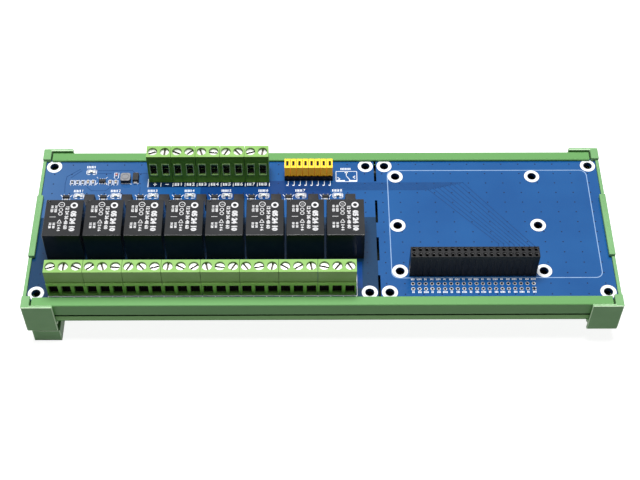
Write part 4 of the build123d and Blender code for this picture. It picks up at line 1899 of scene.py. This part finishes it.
    def chips(self, row: ChipRow) -> None:
        """Model a row of upright chips with tinned ends.

        Args:
            row: The row.
        """
        top = node_box(row.node)[1].z if row.node else BOARD_TOP + row.height
        wide, deep = self.chip_half
        front, rear = row.y - deep, row.y + deep
        bodies = [
            self.case("chip", (x - wide, front, BOARD_TOP), (x + wide, rear, top), self.chip_draft)
            for x in row.xs
        ]
        name, nodes = (f"{row.stem}_bodies", [row.node]) if row.node else (row.stem, [])
        Bench.settle(Bench.join(bodies, name), row.finish, nodes)
        apart, *size = self.chip_ends
        spots = [(x, row.y + side * apart, *size) for x in row.xs for side in (-1, 1)]
        Bench.settle(self.tin(f"{row.stem}_ends", spots, top - BOARD_TOP), SOLDER)

    def inductor(self) -> None:
        """Model the shielded inductor with its core and end tabs."""
        body = Bench.from_node("power_inductor", "inductor_body")
        low, high = node_box("power_inductor")
        x, y = (low.x + high.x) / 2, (low.y + high.y) / 2
        radius, depth = self.groove
        groove = Bench.rod("groove", (x, y, high.z - depth), radius, 1, 28)
        Bench.combine(body, "DIFFERENCE", [groove])
        Bench.round_edges(body, self.inductor_rounding)
        radius, depth, height = self.core
        core = Bench.rod("inductor_core", (x, y, high.z - depth), radius, height, 28)
        Bench.round_edges(core, self.core_rounding)

        def on_side(spot: Vector, normal: Vector) -> bool:
            """Tell whether a face belongs to the upright sides."""
            return abs(normal.z) < 0.3 and spot.z < high.z - 0.4

        Bench.coat(body, FERRITE_GREY, (PACKAGE_GREY, on_side))
        Bench.settle(body, FERRITE_GREY, ["power_inductor"])
        Bench.settle(core, FERRITE_GREY)
        spots = self.spots(self.tabs, x, low.y, high.y)
        Bench.settle(self.tin("inductor_tabs", spots, self.tab_height), SOLDER)

    def row_marks(self) -> None:
        """Lay the bracket print round the parts of the supply."""
        ink = Print("supply_marks", BOARD_TOP)
        for row in self.rows:
            for x in row.xs if row.node else ():
                ink.origin = (x, row.y)
                ink.draw(self.chip_bracket, (-1, 1))
        for x, paths in self.supply_marks:
            ink.origin = (x, 0.0)
            ink.draw(paths, (-1, 1))
        ink.settle(PRINT_WHITE)

    def build(self) -> None:
        """Model and dress all the small parts."""
        self.package(self.optocoupler)
        self.transistor_marks(self.package(self.transistor))
        self.lamps("channel_lamps", "channel_lamp", self.count)
        self.lamps("power_lamp", "power_light", 1)
        for row in self.rows:
            self.chips(row)
        self.package(self.regulator)
        self.package(self.diode)
        self.inductor()
        self.row_marks()


@dataclass
class Studio:
    """Camera, lamps, floor and world of the picture."""

    lens: float = 73.3
    target: Triple = (-0.9, -6.57, 22.8)
    distance: float = 532.9
    azimuth: float = -0.80
    elevation: float = 53.53
    roll: float = 0.49
    floor_size: float = 6.0
    overhead_power: float = 16.2
    overhead_place: Triple = (-40.0, 130.0, 1050.0)
    overhead_size: float = 0.4
    ambient: float = 0.06
    floor_drop: float = 0.2
    floor_grey: float = 0.42
    floor_glow: float = 0.9

    def camera(self) -> None:
        """Set the camera to the picture's view."""
        az, el, roll = (math.radians(value) for value in (self.azimuth, self.elevation, self.roll))
        back = Vector((math.sin(az) * math.cos(el), -math.cos(az) * math.cos(el), math.sin(el)))
        right = (-back).cross(Vector((0, 0, 1))).normalized()
        up = right.cross(-back)
        across = right * math.cos(roll) + up * math.sin(roll)
        place = (Vector(self.target) + back * self.distance) * MM
        matrix = Matrix((across, back.cross(across), back)).transposed().to_4x4()
        Bench.clear()
        bpy.ops.object.camera_add()
        camera = bpy.context.object
        camera.matrix_world = Matrix.Translation(place) @ matrix
        camera.data.lens = self.lens
        camera.data.sensor_width = 36.0
        camera.data.clip_start = 0.01
        camera.data.clip_end = 50.0
        bpy.context.scene.camera = camera

    def overhead(self) -> None:
        """Hang the large soft lamp above and a little behind the board."""
        Bench.clear()
        place = Vector(self.overhead_place) * MM
        bpy.ops.object.light_add(type="AREA", location=place)
        lamp = bpy.context.object
        lamp.data.shape = "SQUARE"
        lamp.data.size = self.overhead_size
        lamp.data.energy = self.overhead_power
        lamp.rotation_euler = (Vector(self.target) * MM - place).to_track_quat("-Z", "Y").to_euler()

    def background_rays(self, tree: bpy.types.NodeTree) -> Plug:
        """Give a mask that is 1 for rays that see the background.

        Args:
            tree: The node tree that takes the mask.

        Returns:
            The mask.
        """
        path = tree.nodes.new("ShaderNodeLightPath")
        total = path.outputs["Is Camera Ray"]
        for name in ("Is Glossy Ray", "Is Transmission Ray"):
            node = tree.nodes.new("ShaderNodeMath")
            node.operation = "MAXIMUM"
            tree.links.new(total, node.inputs[0])
            tree.links.new(path.outputs[name], node.inputs[1])
            total = node.outputs[0]
        return total

    def world(self) -> None:
        """Light all round softly, with white behind the object."""
        world = bpy.data.worlds.new("studio_world")
        bpy.context.scene.world = world
        world.use_nodes = True
        tree = world.node_tree
        background = tree.nodes["Background"]
        background.inputs["Color"].default_value = (1.0, 1.0, 1.0, 1.0)
        strength = tree.nodes.new("ShaderNodeMapRange")
        tree.links.new(self.background_rays(tree), strength.inputs["Value"])
        strength.inputs["To Min"].default_value = self.ambient
        strength.inputs["To Max"].default_value = 1.0
        tree.links.new(strength.outputs[0], background.inputs["Strength"])

    def floor(self) -> None:
        """Lay the pale floor, which keeps the object's shadow."""
        Bench.clear()
        bpy.ops.mesh.primitive_plane_add(size=self.floor_size, location=(0, 0, -self.floor_drop * MM))
        floor = bpy.context.object
        floor.name = "studio_floor"
        material = bpy.data.materials.new("studio_floor")
        material.use_nodes = True
        tree = material.node_tree
        shader = tree.nodes["Principled BSDF"]
        shader.inputs["Base Color"].default_value = (*[self.floor_grey] * 3, 1.0)
        shader.inputs["Specular IOR Level"].default_value = 0.0
        shader.inputs["Roughness"].default_value = 0.9
        shader.inputs["Emission Color"].default_value = (1.0, 1.0, 1.0, 1.0)
        glow = tree.nodes.new("ShaderNodeMath")
        glow.operation = "MULTIPLY"
        tree.links.new(self.background_rays(tree), glow.inputs[0])
        glow.inputs[1].default_value = self.floor_glow
        tree.links.new(glow.outputs[0], shader.inputs["Emission Strength"])
        floor.data.materials.append(material)

    def build(self) -> None:
        """Set up the whole studio."""
        self.camera()
        self.overhead()
        self.world()
        self.floor()
        bpy.context.scene.view_settings.view_transform = "Standard"


def main() -> None:
    """Build the studio and every sub-assembly in order."""
    logging.basicConfig(level=logging.INFO, format="%(message)s")
    Studio().build()
    Carrier().build()
    BoardPrint().build()
    Relays().build()
    for row in Row:
        Terminals(row).build()
    Socket().build()
    Jumpers().build()
    SurfaceParts().build()


if __name__ == "__main__":
    main()
